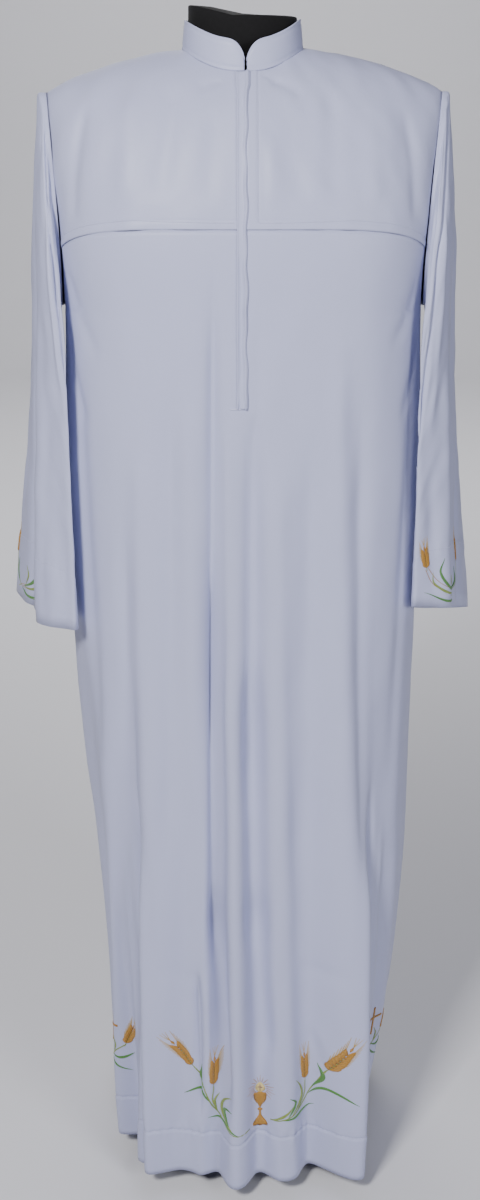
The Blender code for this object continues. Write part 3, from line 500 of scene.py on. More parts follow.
def low_turn(side, back, share):
    start = BACK_ARCH_Z if back else FRONT_ARCH_Z
    low_z = BACK_ARCH_Z + 0.0 * share if back else seam_z(share)
    low_x = np.abs((back_point if back else front_point)(side * share, low_z)[..., 0] - FRONT_X)
    rise = (low_z - start) / (shoulder_z(FRONT_X + low_x) - start)
    return low_x, np.arcsin(np.clip(rise, -1.0, 1.0))


def arch_point(side, back, share, climb):
    """Points of the yoke or the upper back: share to the armhole, climb to the neck or shoulder line."""
    start = BACK_ARCH_Z if back else FRONT_ARCH_Z
    power = BACK_ARCH_POWER if back else FRONT_ARCH_POWER
    column = "back" if back else "front"
    share, climb = np.broadcast_arrays(np.asarray(share, float), np.asarray(climb, float))
    by_neck = share <= NECK_SHARE
    neck_turn = np.minimum(share / NECK_SHARE, 1.0) * np.pi / 2.0
    along = np.clip((share - NECK_SHARE) / (1.0 - NECK_SHARE), 0.0, 1.0)
    top_x = np.where(by_neck, neck_half(side) * np.sin(neck_turn), lerp(neck_half(side), tip_x(side), along))
    end_depth = np.where(by_neck, (NECK_BACK if back else NECK_FRONT) * np.cos(neck_turn), 0.0)
    top_z = shoulder_z(FRONT_X + top_x)
    full = table(RINGS, start, column)
    keep = (1.0 - (top_x / half_width(side, top_z)) ** ROUNDNESS) ** (1.0 / ROUNDNESS)
    end_rise = (1.0 - np.minimum(end_depth / (full * keep), 1.0) ** 2) ** (1.0 / power)
    low_x, turn_low = low_turn(side, back, share)
    edge_x, edge_low = low_turn(side, back, np.ones(1))
    below = np.minimum(climb, 2.0 - climb)
    reach = armhole_reach(side, back, lerp(edge_low, np.pi / 2.0, below))
    edge_shift = reach - lerp(edge_x, tip_x(side), below ** 2)
    off_x = lerp(low_x, top_x, below ** 2) + edge_shift * share ** 4
    turn = lerp(turn_low, np.arcsin(end_rise), climb)
    z = start + (shoulder_z(FRONT_X + off_x) - start) * np.sin(turn)
    keep = np.maximum(1.0 - np.minimum(off_x / half_width(side, z), 1.0) ** ROUNDNESS, 0.0) ** (1.0 / ROUNDNESS)
    rise = np.maximum(np.sin(turn), 0.0)
    depth = table(RINGS, z, column) * keep * np.sqrt(np.maximum(1.0 - rise ** power, 0.0))
    return stack(FRONT_X + side * off_x, depth if back else -depth, z)


def armhole_spot(side, turn):
    """Points of the armhole's edge: -90 degrees at the underarm, 0 in front, 90 at the tip."""
    back = np.cos(turn) < -1e-12
    middle = (UNDERARM_Z + armhole_tip_z(side)) / 2.0
    half = (armhole_tip_z(side) - UNDERARM_Z) / 2.0
    z = middle + half * np.sin(turn)
    start = edge_angle(side, z)
    if side > 0:
        angle = np.where(back, -start, start)
    else:
        angle = np.where(back, 180.0 + start, 180.0 - start)
    return body_point(angle, z)


def sleeve_point(side, along, turn):
    """Points of a sleeve: 0 at the front edge, 90 on the outer layer, 180 at the back edge, 270 inside."""
    rows = SLEEVE_LEFT if side > 0 else SLEEVE_RIGHT
    seam = armhole_spot(side, turn)
    sine, cosine = np.sin(turn), np.cos(turn)
    lap = UNDERARM_LAP * smooth((LAP_FROM - sine) / (LAP_FROM + 1.0))
    cap = lerp(SLEEVE_SIDE_REACH, SLEEVE_REACH, sine ** 4)
    reach = lap + cap * (1.0 - np.exp(-along / SLEEVE_REACH_RATE))
    start = seam + stack(side * reach, 0.0, 0.0)
    front = np.stack([table(rows, along, "front_x"), table(rows, along, "front_y")], axis=-1)
    back = np.stack([table(rows, along, "back_x"), table(rows, along, "back_y")], axis=-1)
    share = (1.0 - cosine) / 2.0
    outer = sine >= 0.0
    bow = np.where(outer, table(rows, along, "bow_out"), table(rows, along, "bow_in")) * sine
    knee = table(rows, along, "knee") * bump(share - KNEE_AT, KNEE_HALF_WIDTH)
    bow += np.where(outer, knee * np.sqrt(np.abs(sine)), 0.0)
    line = back - front
    line /= np.linalg.norm(line, axis=-1, keepdims=True)
    plan = front + (back - front) * share[..., None]
    plan = plan + np.stack([line[..., 1], -line[..., 0]], axis=-1) * bow[..., None]
    if side > 0:
        cuff_out, cuff_in, tilt = CUFF_LEFT_OUT_Z, CUFF_LEFT_IN_Z, CUFF_LEFT_TILT
    else:
        cuff_out, cuff_in, tilt = CUFF_RIGHT_Z, CUFF_RIGHT_Z, 0.0
    high = lerp(armhole_tip_z(side), cuff_out, along)
    low = lerp(UNDERARM_Z, cuff_in, along)
    z = (high + low) / 2.0 + (high - low) / 2.0 * sine + tilt * along ** 2 * cosine
    hang = stack(side * plan[..., 0], plan[..., 1], z)
    return start + (hang - start) * smooth(along / SLEEVE_SETTLE)[..., None]


def neck_seam(turn):
    """The neck seam: 0 at the wearer's left side, 90 at the front, 180 at the right, 270 at the back."""
    share = np.arcsin(np.minimum(np.abs(np.cos(turn)), 1.0)) / (np.pi / 2.0) * NECK_SHARE
    spots = np.zeros(turn.shape + (3,))
    for side in (1.0, -1.0):
        for back in (False, True):
            here = (np.cos(turn) >= 0.0) == (side > 0)
            here &= (np.sin(turn) < 0.0) == back
            spots[here] = arch_point(side, back, share[here], np.ones(here.sum()))
    return spots


def collar_height(turn):
    lean = np.sin(turn)
    height = lerp(COLLAR_SIDE, np.where(lean > 0.0, COLLAR_FRONT, COLLAR_BACK), lean * lean)
    from_opening = np.where(lean > 0.0, np.abs(neck_seam(turn)[..., 0] - FRONT_X), COLLAR_CORNER)
    near = np.clip(1.0 - from_opening / COLLAR_CORNER, 0.0, 1.0)
    height = height * np.sqrt(np.maximum(1.0 - near ** COLLAR_CORNER_POWER, 0.0))
    return np.maximum(height, COLLAR_LEAST)


class Cloth:
    """A piece of cloth as a grid of points, with its own lengths across and up, for what lies on it."""

    def __init__(self, points, across, up, wrap=False, flip=False):
        self.points, self.across, self.up, self.wrap = points, across, up, wrap
        self.flip = flip
        self.normals = self.slopes()

    def slopes(self):
        if self.wrap:
            right = np.roll(self.points, -1, axis=1) - np.roll(self.points, 1, axis=1)
        else:
            right = np.gradient(self.points, axis=1)
        rise = np.gradient(self.points, axis=0)
        normal = np.cross(right, rise)
        normal /= np.maximum(np.linalg.norm(normal, axis=-1, keepdims=True), 1e-12)
        return -normal if self.flip else normal

    def raise_by(self, height):
        self.points = self.points + self.normals * height[..., None]
        self.normals = self.slopes()

    def at(self, across, up):
        """The points and normals at some places on the cloth, by its own lengths."""
        spots, slopes = [], []
        heights = self.up.mean(axis=1)
        for a, u in zip(np.ravel(across), np.ravel(up)):
            row = np.interp(u, heights, np.arange(len(heights)))
            low = int(min(row, len(heights) - 2))
            part = row - low
            pair = []
            for level in (low, low + 1):
                column = np.interp(a, self.across[level], np.arange(self.across.shape[1]))
                left = int(min(column, self.across.shape[1] - 2))
                share = column - left
                pair.append((lerp(self.points[level, left], self.points[level, left + 1], share),
                             lerp(self.normals[level, left], self.normals[level, left + 1], share)))
            spots.append(lerp(pair[0][0], pair[1][0], part))
            slopes.append(lerp(pair[0][1], pair[1][1], part))
        slopes = np.array(slopes)
        return np.array(spots), slopes / np.linalg.norm(slopes, axis=1, keepdims=True)


def lengths_across(points, middle):
    """The running length along each row of points, nought at the middle column."""
    steps = np.linalg.norm(np.diff(points, axis=1), axis=-1)
    run = np.concatenate([np.zeros((len(points), 1)), np.cumsum(steps, axis=1)], axis=1)
    return run - run[:, middle:middle + 1]


def crease_height(across, up, rows):
    """The height of a table of creases, at some places of a piece in metres."""
    total = np.zeros(np.shape(across))
    for *sizes, power in rows[1:]:
        from_a, from_u, to_a, to_u, bow, from_width, to_width, depth = (size / 1000.0 for size in sizes)
        run_a, run_u = to_a - from_a, to_u - from_u
        length = math.hypot(run_a, run_u)
        t = ((across - from_a) * run_a + (up - from_u) * run_u) / length ** 2
        aside = ((across - from_a) * run_u - (up - from_u) * run_a) / length
        inside = np.clip(t, 0.0, 1.0)
        aside = aside - bow * 4.0 * inside * (1.0 - inside)
        width = lerp(from_width, to_width, inside)
        ends = smooth(t / CREASE_END) * smooth((1.0 - t) / CREASE_END)
        total += depth * ends * np.exp(-np.abs(aside / width) ** power)
    return total


def ripple(across, up, seed, size, rise):
    """Gentle uneven waves, longer down the cloth than across it."""
    rng = np.random.default_rng(seed)
    total = np.zeros(np.shape(across))
    for _ in range(RIPPLES):
        wide = size * rng.uniform(0.6, 1.8)
        tall = wide * rng.uniform(2.5, 6.0)
        turn, lag = rng.uniform(-0.35, 0.35), rng.uniform(0.0, 2.0 * np.pi, 2)
        a = across * math.cos(turn) + up * math.sin(turn)
        u = up * math.cos(turn) - across * math.sin(turn)
        total += np.sin(2.0 * np.pi * a / wide + lag[0]) * np.sin(2.0 * np.pi * u / tall + lag[1])
    return rise * total / math.sqrt(RIPPLES)


def select_only(*pieces):
    bpy.ops.object.select_all(action="DESELECT")
    for piece in pieces:
        piece.select_set(True)
    bpy.context.view_layer.objects.active = pieces[0]


def apply_modifier(piece, kind, **settings):
    select_only(piece)
    modifier = piece.modifiers.new(kind.lower(), kind)
    for name, value in settings.items():
        setattr(modifier, name, value)
    bpy.ops.object.modifier_apply(modifier=modifier.name)


def mesh_piece(name, points, faces, material, lengths=None):
    """A new piece from points and faces, with its own lengths as a UV map in metres."""
    mesh = bpy.data.meshes.new(name)
    mesh.from_pydata([tuple(spot) for spot in points], [], faces)
    piece = bpy.data.objects.new(name, mesh)
    bpy.context.scene.collection.objects.link(piece)
    mesh.materials.append(material)
    mesh.shade_smooth()
    if lengths is not None:
        layer = mesh.uv_layers.new(name="lengths")
        index = np.zeros(len(mesh.loops), dtype=np.int32)
        mesh.loops.foreach_get("vertex_index", index)
        layer.data.foreach_set("uv", np.ascontiguousarray(lengths[index], dtype=np.float32).ravel())
    return piece


def grid_faces(rows, columns, wrap=False, flip=False):
    faces = []
    for row in range(rows - 1):
        for column in range(columns if wrap else columns - 1):
            right = (column + 1) % columns
            face = (row * columns + column, row * columns + right,
                    (row + 1) * columns + right, (row + 1) * columns + column)
            faces.append(face[::-1] if flip else face)
    return faces


def cloth_shell(name, cloth, material, thickness=SHELL):
    """A shell of cloth: its outer face is the grid, and its wall goes inwards."""
    rows, columns = cloth.across.shape
    points = cloth.points.reshape(-1, 3)
    lengths = np.stack([cloth.across, cloth.up], axis=-1).reshape(-1, 2)
    faces = grid_faces(rows, columns, cloth.wrap, cloth.flip)
    piece = mesh_piece(name, points, faces, material, lengths)
    apply_modifier(piece, "SOLIDIFY", thickness=thickness, offset=-1.0, use_rim=True)
    return piece


def linear(code):
    """An sRGB hex colour as linear values."""
    parts = [int(code[index:index + 2], 16) / 255.0 for index in (1, 3, 5)]
    return [p / 12.92 if p <= 0.04045 else ((p + 0.055) / 1.055) ** 2.4 for p in parts] + [1.0]


def add_node(tree, kind, links=None, **settings):
    """Add a node, set its properties and inputs, and link what feeds it."""
    node = tree.nodes.new(kind)
    for name, value in settings.items():
        if hasattr(node, name):
            setattr(node, name, value)
        else:
            node.inputs[name.replace("_", " ")].default_value = value
    for name, source in (links or {}).items():
        tree.links.new(source, node.inputs[name])
    return node


def new_material(name, colour, roughness, **settings):
    material = bpy.data.materials.new(name)
    material.use_nodes = True
    shader = material.node_tree.nodes["Principled BSDF"]
    shader.inputs["Base Color"].default_value = linear(colour)
    shader.inputs["Roughness"].default_value = roughness
    for socket, value in settings.items():
        shader.inputs[socket.replace("_", " ")].default_value = value
    return material, material.node_tree, shader


def two_tone(tree, shader, factor, dark, light):
    """A base colour between two hex colours, by a factor socket. The first may be a list of values."""
    mix = add_node(tree, "ShaderNodeMix", {"Factor": factor}, data_type="RGBA")
    mix.inputs[MIX_FROM].default_value = dark if isinstance(dark, list) else linear(dark)
    mix.inputs[MIX_TO].default_value = linear(light)
    tree.links.new(mix.outputs[MIX_OUT], shader.inputs["Base Color"])


def relief_of(tree, shader, height, strength, distance, **under):
    """A bump on the shader, over the one under it if there is one."""
    node = add_node(tree, "ShaderNodeBump", {"Height": height, **under}, Strength=strength, Distance=distance)
    tree.links.new(node.outputs["Normal"], shader.inputs["Normal"])
    return node.outputs["Normal"]


def suiting_woven(name, colour):
    """Polyester suiting, plain-woven from bright filament yarn: smooth, with a cool satiny sheen."""
    material, tree, shader = new_material(name, colour, CLOTH_ROUGHNESS, Sheen_Weight=0.04,
                                          Sheen_Roughness=0.35, Specular_IOR_Level=0.3)
    lengths = add_node(tree, "ShaderNodeUVMap", uv_map="lengths").outputs["UV"]
    waves = [add_node(tree, "ShaderNodeTexWave", {"Vector": lengths}, bands_direction=direction,
                      Scale=WAVE_PERIOD / THREAD_PITCH, Distortion=1.5, Detail=1.0).outputs["Fac"]
             for direction in ("X", "Y")]
    weave = add_node(tree, "ShaderNodeMath", dict(enumerate(waves)), operation="MULTIPLY")
    slub = add_node(tree, "ShaderNodeTexNoise", {"Vector": lengths}, Scale=38.0, Detail=3.0)
    tone = add_node(tree, "ShaderNodeMapRange", {"Value": slub.outputs["Fac"]}, From_Min=0.3, From_Max=0.7,
                    To_Min=0.965, To_Max=1.0)
    dark = [SLUB_TONE * part for part in linear(colour)[:3]] + [1.0]
    two_tone(tree, shader, tone.outputs["Result"], dark, colour)
    crinkle = add_node(tree, "ShaderNodeTexNoise", {"Vector": lengths}, Scale=14.0, Detail=4.0, Roughness=0.55)
    fine = relief_of(tree, shader, weave.outputs["Value"], 0.25, 0.0001)
    relief_of(tree, shader, crinkle.outputs["Fac"], 0.35, 0.004, Normal=fine)
    return material


def jersey_knit(name, colour):
    """Black cotton jersey, knit with a little elastane: matte, with fine upright ribs."""
    material, tree, shader = new_material(name, colour, 0.86, Sheen_Weight=0.06, Sheen_Roughness=0.5,
                                          Specular_IOR_Level=0.25)
    lengths = add_node(tree, "ShaderNodeUVMap", uv_map="lengths").outputs["UV"]
    ribs = add_node(tree, "ShaderNodeTexWave", {"Vector": lengths}, bands_direction="X",
                    Scale=WAVE_PERIOD / RIB_PITCH, Distortion=0.8)
    lint = add_node(tree, "ShaderNodeTexNoise", {"Vector": lengths}, Scale=220.0, Detail=3.0)
    two_tone(tree, shader, lint.outputs["Fac"], colour, LINT_COLOUR)
    relief_of(tree, shader, ribs.outputs["Fac"], 0.4, 0.0003)
    return material


def powder_coat(name, colour):
    """Steel with a baked black powder coat: a low gloss with a fine orange peel."""
    material, tree, shader = new_material(name, colour, 0.42, IOR=1.5)
    place = add_node(tree, "ShaderNodeTexCoord")
    peel = add_node(tree, "ShaderNodeTexNoise", {"Vector": place.outputs["Object"]}, Scale=900.0, Detail=2.0)
    rough = add_node(tree, "ShaderNodeMapRange", {"Value": peel.outputs["Fac"]}, To_Min=0.36, To_Max=0.5)
    tree.links.new(rough.outputs["Result"], shader.inputs["Roughness"])
    relief_of(tree, shader, peel.outputs["Fac"], 0.25, 0.0002)
    return material


def rayon_stitched(name, colour, dark):
    """Rayon thread laid in satin stitch: glossy threads side by side, painted lighter on each crown as a highlight
    and darker between threads as shade.
    """
    material, tree, shader = new_material(name, colour, 0.38, Sheen_Weight=0.2, Anisotropic=0.4)
    lengths = add_node(tree, "ShaderNodeUVMap", uv_map="lengths").outputs["UV"]
    threads = add_node(tree, "ShaderNodeTexWave", {"Vector": lengths}, bands_direction="Y",
                       Scale=WAVE_PERIOD / FLOSS_PITCH, Distortion=1.0, Detail=1.0).outputs["Fac"]
    # Painted highlight and shade: the base colour runs from the dark tone between the threads to the light tone on
    # each crown, along the same waves as the relief
    two_tone(tree, shader, threads, dark, colour)
    relief_of(tree, shader, threads, 0.6, 0.0003)
    return material


def thread_twisted(name, colour):
    """Spun polyester sewing thread, twisted and dyed to the cloth: a shade brighter than it."""
    return new_material(name, colour, 0.45, Sheen_Weight=0.2)[0]


CLOTH_COLOUR = "#B7BBDA"
cloth_white = suiting_woven("polyester_suiting_white", CLOTH_COLOUR)
jersey_black = jersey_knit("cotton_jersey_black", "#0A0A0B")
stand_black = powder_coat("powder_coated_steel_black", "#141416")
thread_white = thread_twisted("spun_polyester_thread_white", "#C6C9E4")
# Each floss has its own colour and then a darker one, which is painted shade between its threads
floss_gold = rayon_stitched("rayon_floss_gold", "#C8942A", "#8A5A16")
floss_pale = rayon_stitched("rayon_floss_pale_gold", "#E6D79A", "#CDAF5A")
floss_green = rayon_stitched("rayon_floss_green", "#5C9A3C", "#37662A")
floss_straw = rayon_stitched("rayon_floss_straw", "#D3B45C", "#AA8736")
floss_bronze = rayon_stitched("rayon_floss_bronze", "#9A6B2A", "#6B4416")
floss_wine = rayon_stitched("rayon_floss_wine", "#7B2F4C", "#56203A")
floss_moss = rayon_stitched("rayon_floss_moss", "#9AAE4A", "#6B7F34")


def finish_piece(piece, *nodes, slot="alb_cloth"):
    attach(piece, "root")
    if nodes:
        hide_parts(*nodes)
    return piece


# Body panels: rows are close together across the hem's stitching, and columns in the middle
BODY_COLUMNS = 220
BODY_ROWS = 150
CHEST_ROWS = 16
ARCH_ROWS = 46
MIDDLE = BODY_COLUMNS // 2
EVEN_SHARE = 0.7
HEM_FINE = (0.084, 0.112)
HEM_WAVES = ((0.0015, 41.0, 0.0), (0.001, 97.0, 1.0))
HEM_DOUBLED = 0.0007
HEM_DRAWN = 0.001
HEM_PUCKER = 0.0007
HEM_PUCKER_RATE = 520.0
HEM_PUCKER_REACH = 0.011
HEM_SEAM_WIDTH = 0.0022
EDGE_DIP = 0.0009
EDGE_WIDTH = 0.0035
CALM_FROM = 0.006
CALM_OVER = 0.016
CALM_BELOW_STRIP = 0.02
CALM_LEAST = 0.2
steps_across = np.linspace(-1.0, 1.0, BODY_COLUMNS + 1)
body_shares = steps_across * (EVEN_SHARE + (1.0 - EVEN_SHARE) * steps_across ** 2)


def panel_grid(edge, top):
    """The grid of a body panel from the hem to its upper line, with its plain lengths and heights."""
    low = np.concatenate([np.linspace(HEM_Z, HEM_FINE[0], 8)[:-1], np.linspace(*HEM_FINE, 20)[:-1],
                          np.linspace(HEM_FINE[1], UNDERARM_Z, BODY_ROWS - 24)])
    steps = np.linspace(0.0, 1.0, CHEST_ROWS + 1)[1:, None]
    z = np.concatenate([np.repeat(low[:, None], BODY_COLUMNS + 1, axis=1),
                        lerp(UNDERARM_Z, np.broadcast_to(top(body_shares), (CHEST_ROWS, BODY_COLUMNS + 1)), steps)])
    u = np.broadcast_to(body_shares, z.shape)
    return edge(u, z), lengths_across(edge(u, z, folded=False), MIDDLE), z


def hem_line(across):
    """The height of the hem's stitches, which waver a little."""
    return sum((rise * np.sin(across * rate + lag) for rise, rate, lag in HEM_WAVES), HEM_STITCH_Z)


def hem_and_stitch(across, z):
    """The turned-up hem: a little proud below its line of stitches, drawn in and puckered along it."""
    line = hem_line(across)
    pucker = np.sin(across * HEM_PUCKER_RATE + 2.0 * np.sin(across * 60.0))
    pucker = pucker * swell(z, line, HEM_PUCKER_REACH) * (z < line + 0.012)
    drawn = HEM_DRAWN * swell(z, line, HEM_SEAM_WIDTH)
    return HEM_DOUBLED * smooth((line - z) / 0.004) - drawn + HEM_PUCKER * pucker


def edge_dip(across):
    """How deep the cloth is drawn in beside the seams at both ends of its rows."""
    return EDGE_DIP * swell(np.minimum(across - across[:, :1], across[:, -1:] - across), 0.0, EDGE_WIDTH)


# The front, calm beside the fly
points, across, z = panel_grid(front_point, seam_z)
front = Cloth(points, across, z)
calm = smooth((np.abs(across) - CALM_FROM) / CALM_OVER)
front.raise_by(crease_height(across, z, FRONT_CREASES) * np.where(z > STRIP_END_Z - CALM_BELOW_STRIP, calm, 1.0))
front.raise_by(ripple(across, z, 5, 0.06, 0.0007) * smooth((1.3 - z) / 0.12) * np.maximum(calm, CALM_LEAST))
front.raise_by(hem_and_stitch(across, z) - edge_dip(across))
alb_front = cloth_shell("alb_front", front, cloth_white)
finish_piece(alb_front, "front_panel")

# The back, as one piece up to the neck seam and the shoulder line
low_points, low_across, low_z = panel_grid(back_point, lambda u: np.full(len(u), BACK_ARCH_Z))
on_left = body_shares > 0.0
upper = np.zeros((ARCH_ROWS, BODY_COLUMNS + 1, 3))
for row, step in enumerate(np.linspace(0.0, 1.0, ARCH_ROWS + 1)[1:]):
    climb = 1.0 - (1.0 - step) ** 1.5
    upper[row, on_left] = arch_point(1.0, True, body_shares[on_left], np.full(on_left.sum(), climb))
    upper[row, ~on_left] = arch_point(-1.0, True, -body_shares[~on_left], np.full((~on_left).sum(), climb))
points = np.concatenate([low_points, upper])
rise = np.cumsum(np.linalg.norm(np.diff(points[:, MIDDLE], axis=0), axis=-1))
upper_z = BACK_ARCH_Z + rise[-ARCH_ROWS:] - rise[-ARCH_ROWS - 1]
up = np.concatenate([low_z, np.repeat(upper_z[:, None], BODY_COLUMNS + 1, axis=1)])
across = np.concatenate([low_across, lengths_across(upper, MIDDLE)])
back = Cloth(points, across, up, flip=True)
back.raise_by(crease_height(across, up, BACK_CREASES))
back.raise_by(ripple(across, up, 11, 0.06, 0.0011) * smooth((1.42 - up) / 0.1))
back.raise_by(hem_and_stitch(across, up) - edge_dip(across))
alb_back = cloth_shell("alb_back", back, cloth_white)
finish_piece(alb_back, "back_panel")

# The yoke halves
YOKE_COLUMNS = 96
YOKE_ROWS = 64
YOKE_FLY_COLUMNS = 24
YOKE_FLY_SHARE = 0.09
YOKE_LOW_ROWS = 14
YOKE_LOW_CLIMB = 0.1
YOKE_CROWD = 1.3
YOKE_CORNER = 0.004
YOKE_PROUD = 0.0003
YOKE_BAND = 0.0007
YOKE_SEAM = 0.0006
YOKE_SEAM_WIDTH = 0.0012
YOKE_SEEDS = {"right": 22, "left": 21}
yokes = {}
for side, name in ((-1.0, "right"), (1.0, "left")):
    shares = np.concatenate([np.linspace(0.0, YOKE_FLY_SHARE, YOKE_FLY_COLUMNS + 1)[:-1],
                             np.linspace(YOKE_FLY_SHARE, 1.0, YOKE_COLUMNS - YOKE_FLY_COLUMNS + 1)])
    lows = np.linspace(0.0, YOKE_LOW_CLIMB, YOKE_LOW_ROWS + 1)[:-1]
    left_over = 1.0 - np.linspace(0.0, 1.0, YOKE_ROWS - YOKE_LOW_ROWS + 1)
    highs = 1.0 - (1.0 - YOKE_LOW_CLIMB) * left_over ** YOKE_CROWD
    share, climb = np.meshgrid(shares, np.concatenate([lows, highs]))
    points = arch_point(side, False, share, climb)[:, ::int(side)]
    across = lengths_across(points, 0 if side > 0 else YOKE_COLUMNS)
    rise = np.cumsum(np.linalg.norm(np.diff(points, axis=0), axis=-1), axis=0)
    up = np.concatenate([np.zeros((1, YOKE_COLUMNS + 1)), rise])
    yoke = Cloth(points, across, up)
    off = np.abs(across)
    faded = smooth(off / 0.03) * smooth((0.19 - up) / 0.02 + 0.5)
    yoke.raise_by(crease_height(across, up, YOKE_CREASES) * faded)
    band = smooth((YOKE_STITCH_UP - up) / 0.002 + 0.5)
    from_line = np.abs(up - YOKE_STITCH_UP)
    if side > 0:
        band = np.maximum(band, smooth((FLY_BAND_ACROSS - off) / 0.0015 + 0.5))
        from_line = np.abs(np.hypot(np.minimum(off - FLY_BAND_ACROSS - YOKE_CORNER, 0.0),
                                    np.minimum(up - YOKE_STITCH_UP - YOKE_CORNER, 0.0)) - YOKE_CORNER)
    drawn = YOKE_SEAM * swell(from_line, 0.0, YOKE_SEAM_WIDTH) + edge_dip(across) * (off > 0.05)
    yoke.raise_by(YOKE_PROUD + YOKE_BAND * band - drawn)
    yoke.raise_by(ripple(across, up, YOKE_SEEDS[name], 0.05, 0.0009) * smooth((off - 0.012) / 0.02))
    piece = cloth_shell("alb_yoke_" + name, yoke, cloth_white)
    finish_piece(piece, "front_yoke_" + name)
    yokes[name] = (yoke, piece)

# The sleeves, as flattened tubes
SLEEVE_COLUMNS = 150
SLEEVE_ROWS = 110
OUTER_MIDDLE = SLEEVE_COLUMNS // 2
SLEEVE_CROWD = 0.75
CUFF_DOUBLED = 0.0005
CUFF_DRAWN = 0.0007
CUFF_SEAM_WIDTH = 0.0016
CUFF_PUCKER = 0.0004
CUFF_PUCKER_RATE = 560.0
CUFF_PUCKER_REACH = 0.008
SLEEVE_SEEDS = {"right": 32, "left": 31}
sleeves = {}
for side, name, creases in ((-1.0, "right", SLEEVE_RIGHT_CREASES), (1.0, "left", SLEEVE_LEFT_CREASES)):
    turns = np.pi / 2.0 + side * (np.arange(SLEEVE_COLUMNS) - OUTER_MIDDLE) * 2.0 * np.pi / SLEEVE_COLUMNS
    turn, along = np.meshgrid(turns, 1.0 - np.linspace(0.0, 1.0, SLEEVE_ROWS + 1) ** SLEEVE_CROWD)
    points = sleeve_point(side, along, turn)
    around = lengths_across(points, OUTER_MIDDLE)
    rise = np.linalg.norm(np.diff(points[:, OUTER_MIDDLE], axis=0), axis=-1)
    up = np.repeat(np.concatenate([[0.0], np.cumsum(rise)])[:, None], SLEEVE_COLUMNS, axis=1)
    sleeve = Cloth(points, around, up, wrap=True)
    sleeve.raise_by(crease_height(around, up, creases))
    sleeve.raise_by(ripple(around, up, SLEEVE_SEEDS[name], 0.045, 0.001) * smooth(along / 0.06))
    stitch = CUFF_STITCH_FROM_EDGE
    pucker = np.sin(around * CUFF_PUCKER_RATE) * swell(up, stitch, CUFF_PUCKER_REACH)
    sleeve.raise_by(CUFF_DOUBLED * smooth((stitch - up) / 0.003) - CUFF_DRAWN * swell(up, stitch, CUFF_SEAM_WIDTH)
                    + CUFF_PUCKER * pucker)
    piece = cloth_shell("alb_sleeve_" + name, sleeve, cloth_white)
    finish_piece(piece, "sleeve_" + name)
    sleeves[name] = (sleeve, piece)

# The stand collar
COLLAR_COLUMNS = 240
COLLAR_ROWS = 22
COLLAR_STITCH_IN = 0.004
COLLAR_STITCH_WIDTH = 0.0012
COLLAR_PROUD = 0.0007
COLLAR_DRAWN = 0.0005
COLLAR_WAVE = 0.0005
COLLAR_SHELL = 0.0013
gap = math.radians(COLLAR_GAP_DEG)
turn = np.linspace(math.pi / 2.0 + gap, math.pi * 2.5 - gap, COLLAR_COLUMNS + 1)
foot = neck_seam(turn)
outward = stack(np.cos(turn) / neck_half(np.cos(turn)),
                -np.sin(turn) / np.where(np.sin(turn) > 0.0, NECK_FRONT, NECK_BACK), 0.0)
outward /= np.linalg.norm(outward, axis=-1, keepdims=True)
share = np.linspace(0.0, 1.0, COLLAR_ROWS + 1)[:, None]
tall = collar_height(turn)[None, :] * share
points = foot[None] + stack(0.0, 0.0, tall) - outward[None] * (COLLAR_LEAN * share)[..., None]
across = lengths_across(np.repeat(foot[None], COLLAR_ROWS + 1, axis=0), COLLAR_COLUMNS // 2)
collar = Cloth(points, across, tall, flip=True)
from_top = collar_height(turn)[None, :] - tall
stitched = sum(swell(away, COLLAR_STITCH_IN, COLLAR_STITCH_WIDTH) for away in (from_top, tall))
waved = COLLAR_WAVE * np.sin(across * 90.0 + 1.0) * share
collar.raise_by(COLLAR_PROUD - COLLAR_DRAWN * stitched + waved)
alb_collar = cloth_shell("alb_collar", collar, cloth_white, COLLAR_SHELL)
finish_piece(alb_collar, "collar")

# The concealed fly strip, on the panel's and the yoke's own points
STRIP_COLUMNS = 24
STRIP_LOW_ROWS = 130
STRIP_HIGH_ROWS = 60
STRIP_TOP_CLIMB = 0.985
STRIP_SHELL = 0.0011
STRIP_TAB_FROM_TOP = 0.03
STRIP_FOLD = 0.0009
STRIP_ROLL = 0.0022
STRIP_VALLEY = 0.0014
STRIP_TUCK = 0.0016
STRIP_END_REACH = 0.016
low = front_point(np.zeros(STRIP_LOW_ROWS), np.linspace(STRIP_END_Z, YOKE_SEAM_Z, STRIP_LOW_ROWS))
climbs = np.linspace(0.0, STRIP_TOP_CLIMB, STRIP_HIGH_ROWS + 1)[1:]
spine = np.concatenate([low, arch_point(1.0, False, np.zeros(STRIP_HIGH_ROWS), climbs)])
run = np.concatenate([[0.0], np.cumsum(np.linalg.norm(np.diff(spine, axis=0), axis=-1))])
slope = np.gradient(spine, axis=0)
lift = stack(0.0, -slope[:, 2], slope[:, 1])
lift /= np.linalg.norm(lift, axis=-1, keepdims=True)
share = np.linspace(0.0, 1.0, STRIP_COLUMNS + 1)
wander = 0.0009 * np.sin(run * 61.0) + 0.0006 * np.sin(run * 143.0 + 0.7)
tab = smooth((run - run[-1] + STRIP_TAB_FROM_TOP) / 0.012)
left_x = STRIP_LEFT_X + 0.0002 * np.sin(run * 40.0) - 0.0012 * tab
right_x = STRIP_RIGHT_X + wander * (1.0 - tab) + 0.003 * tab
x = left_x[:, None] + (right_x - left_x)[:, None] * share
points = np.repeat(spine[:, None], STRIP_COLUMNS + 1, axis=1)
points[..., 0] = x
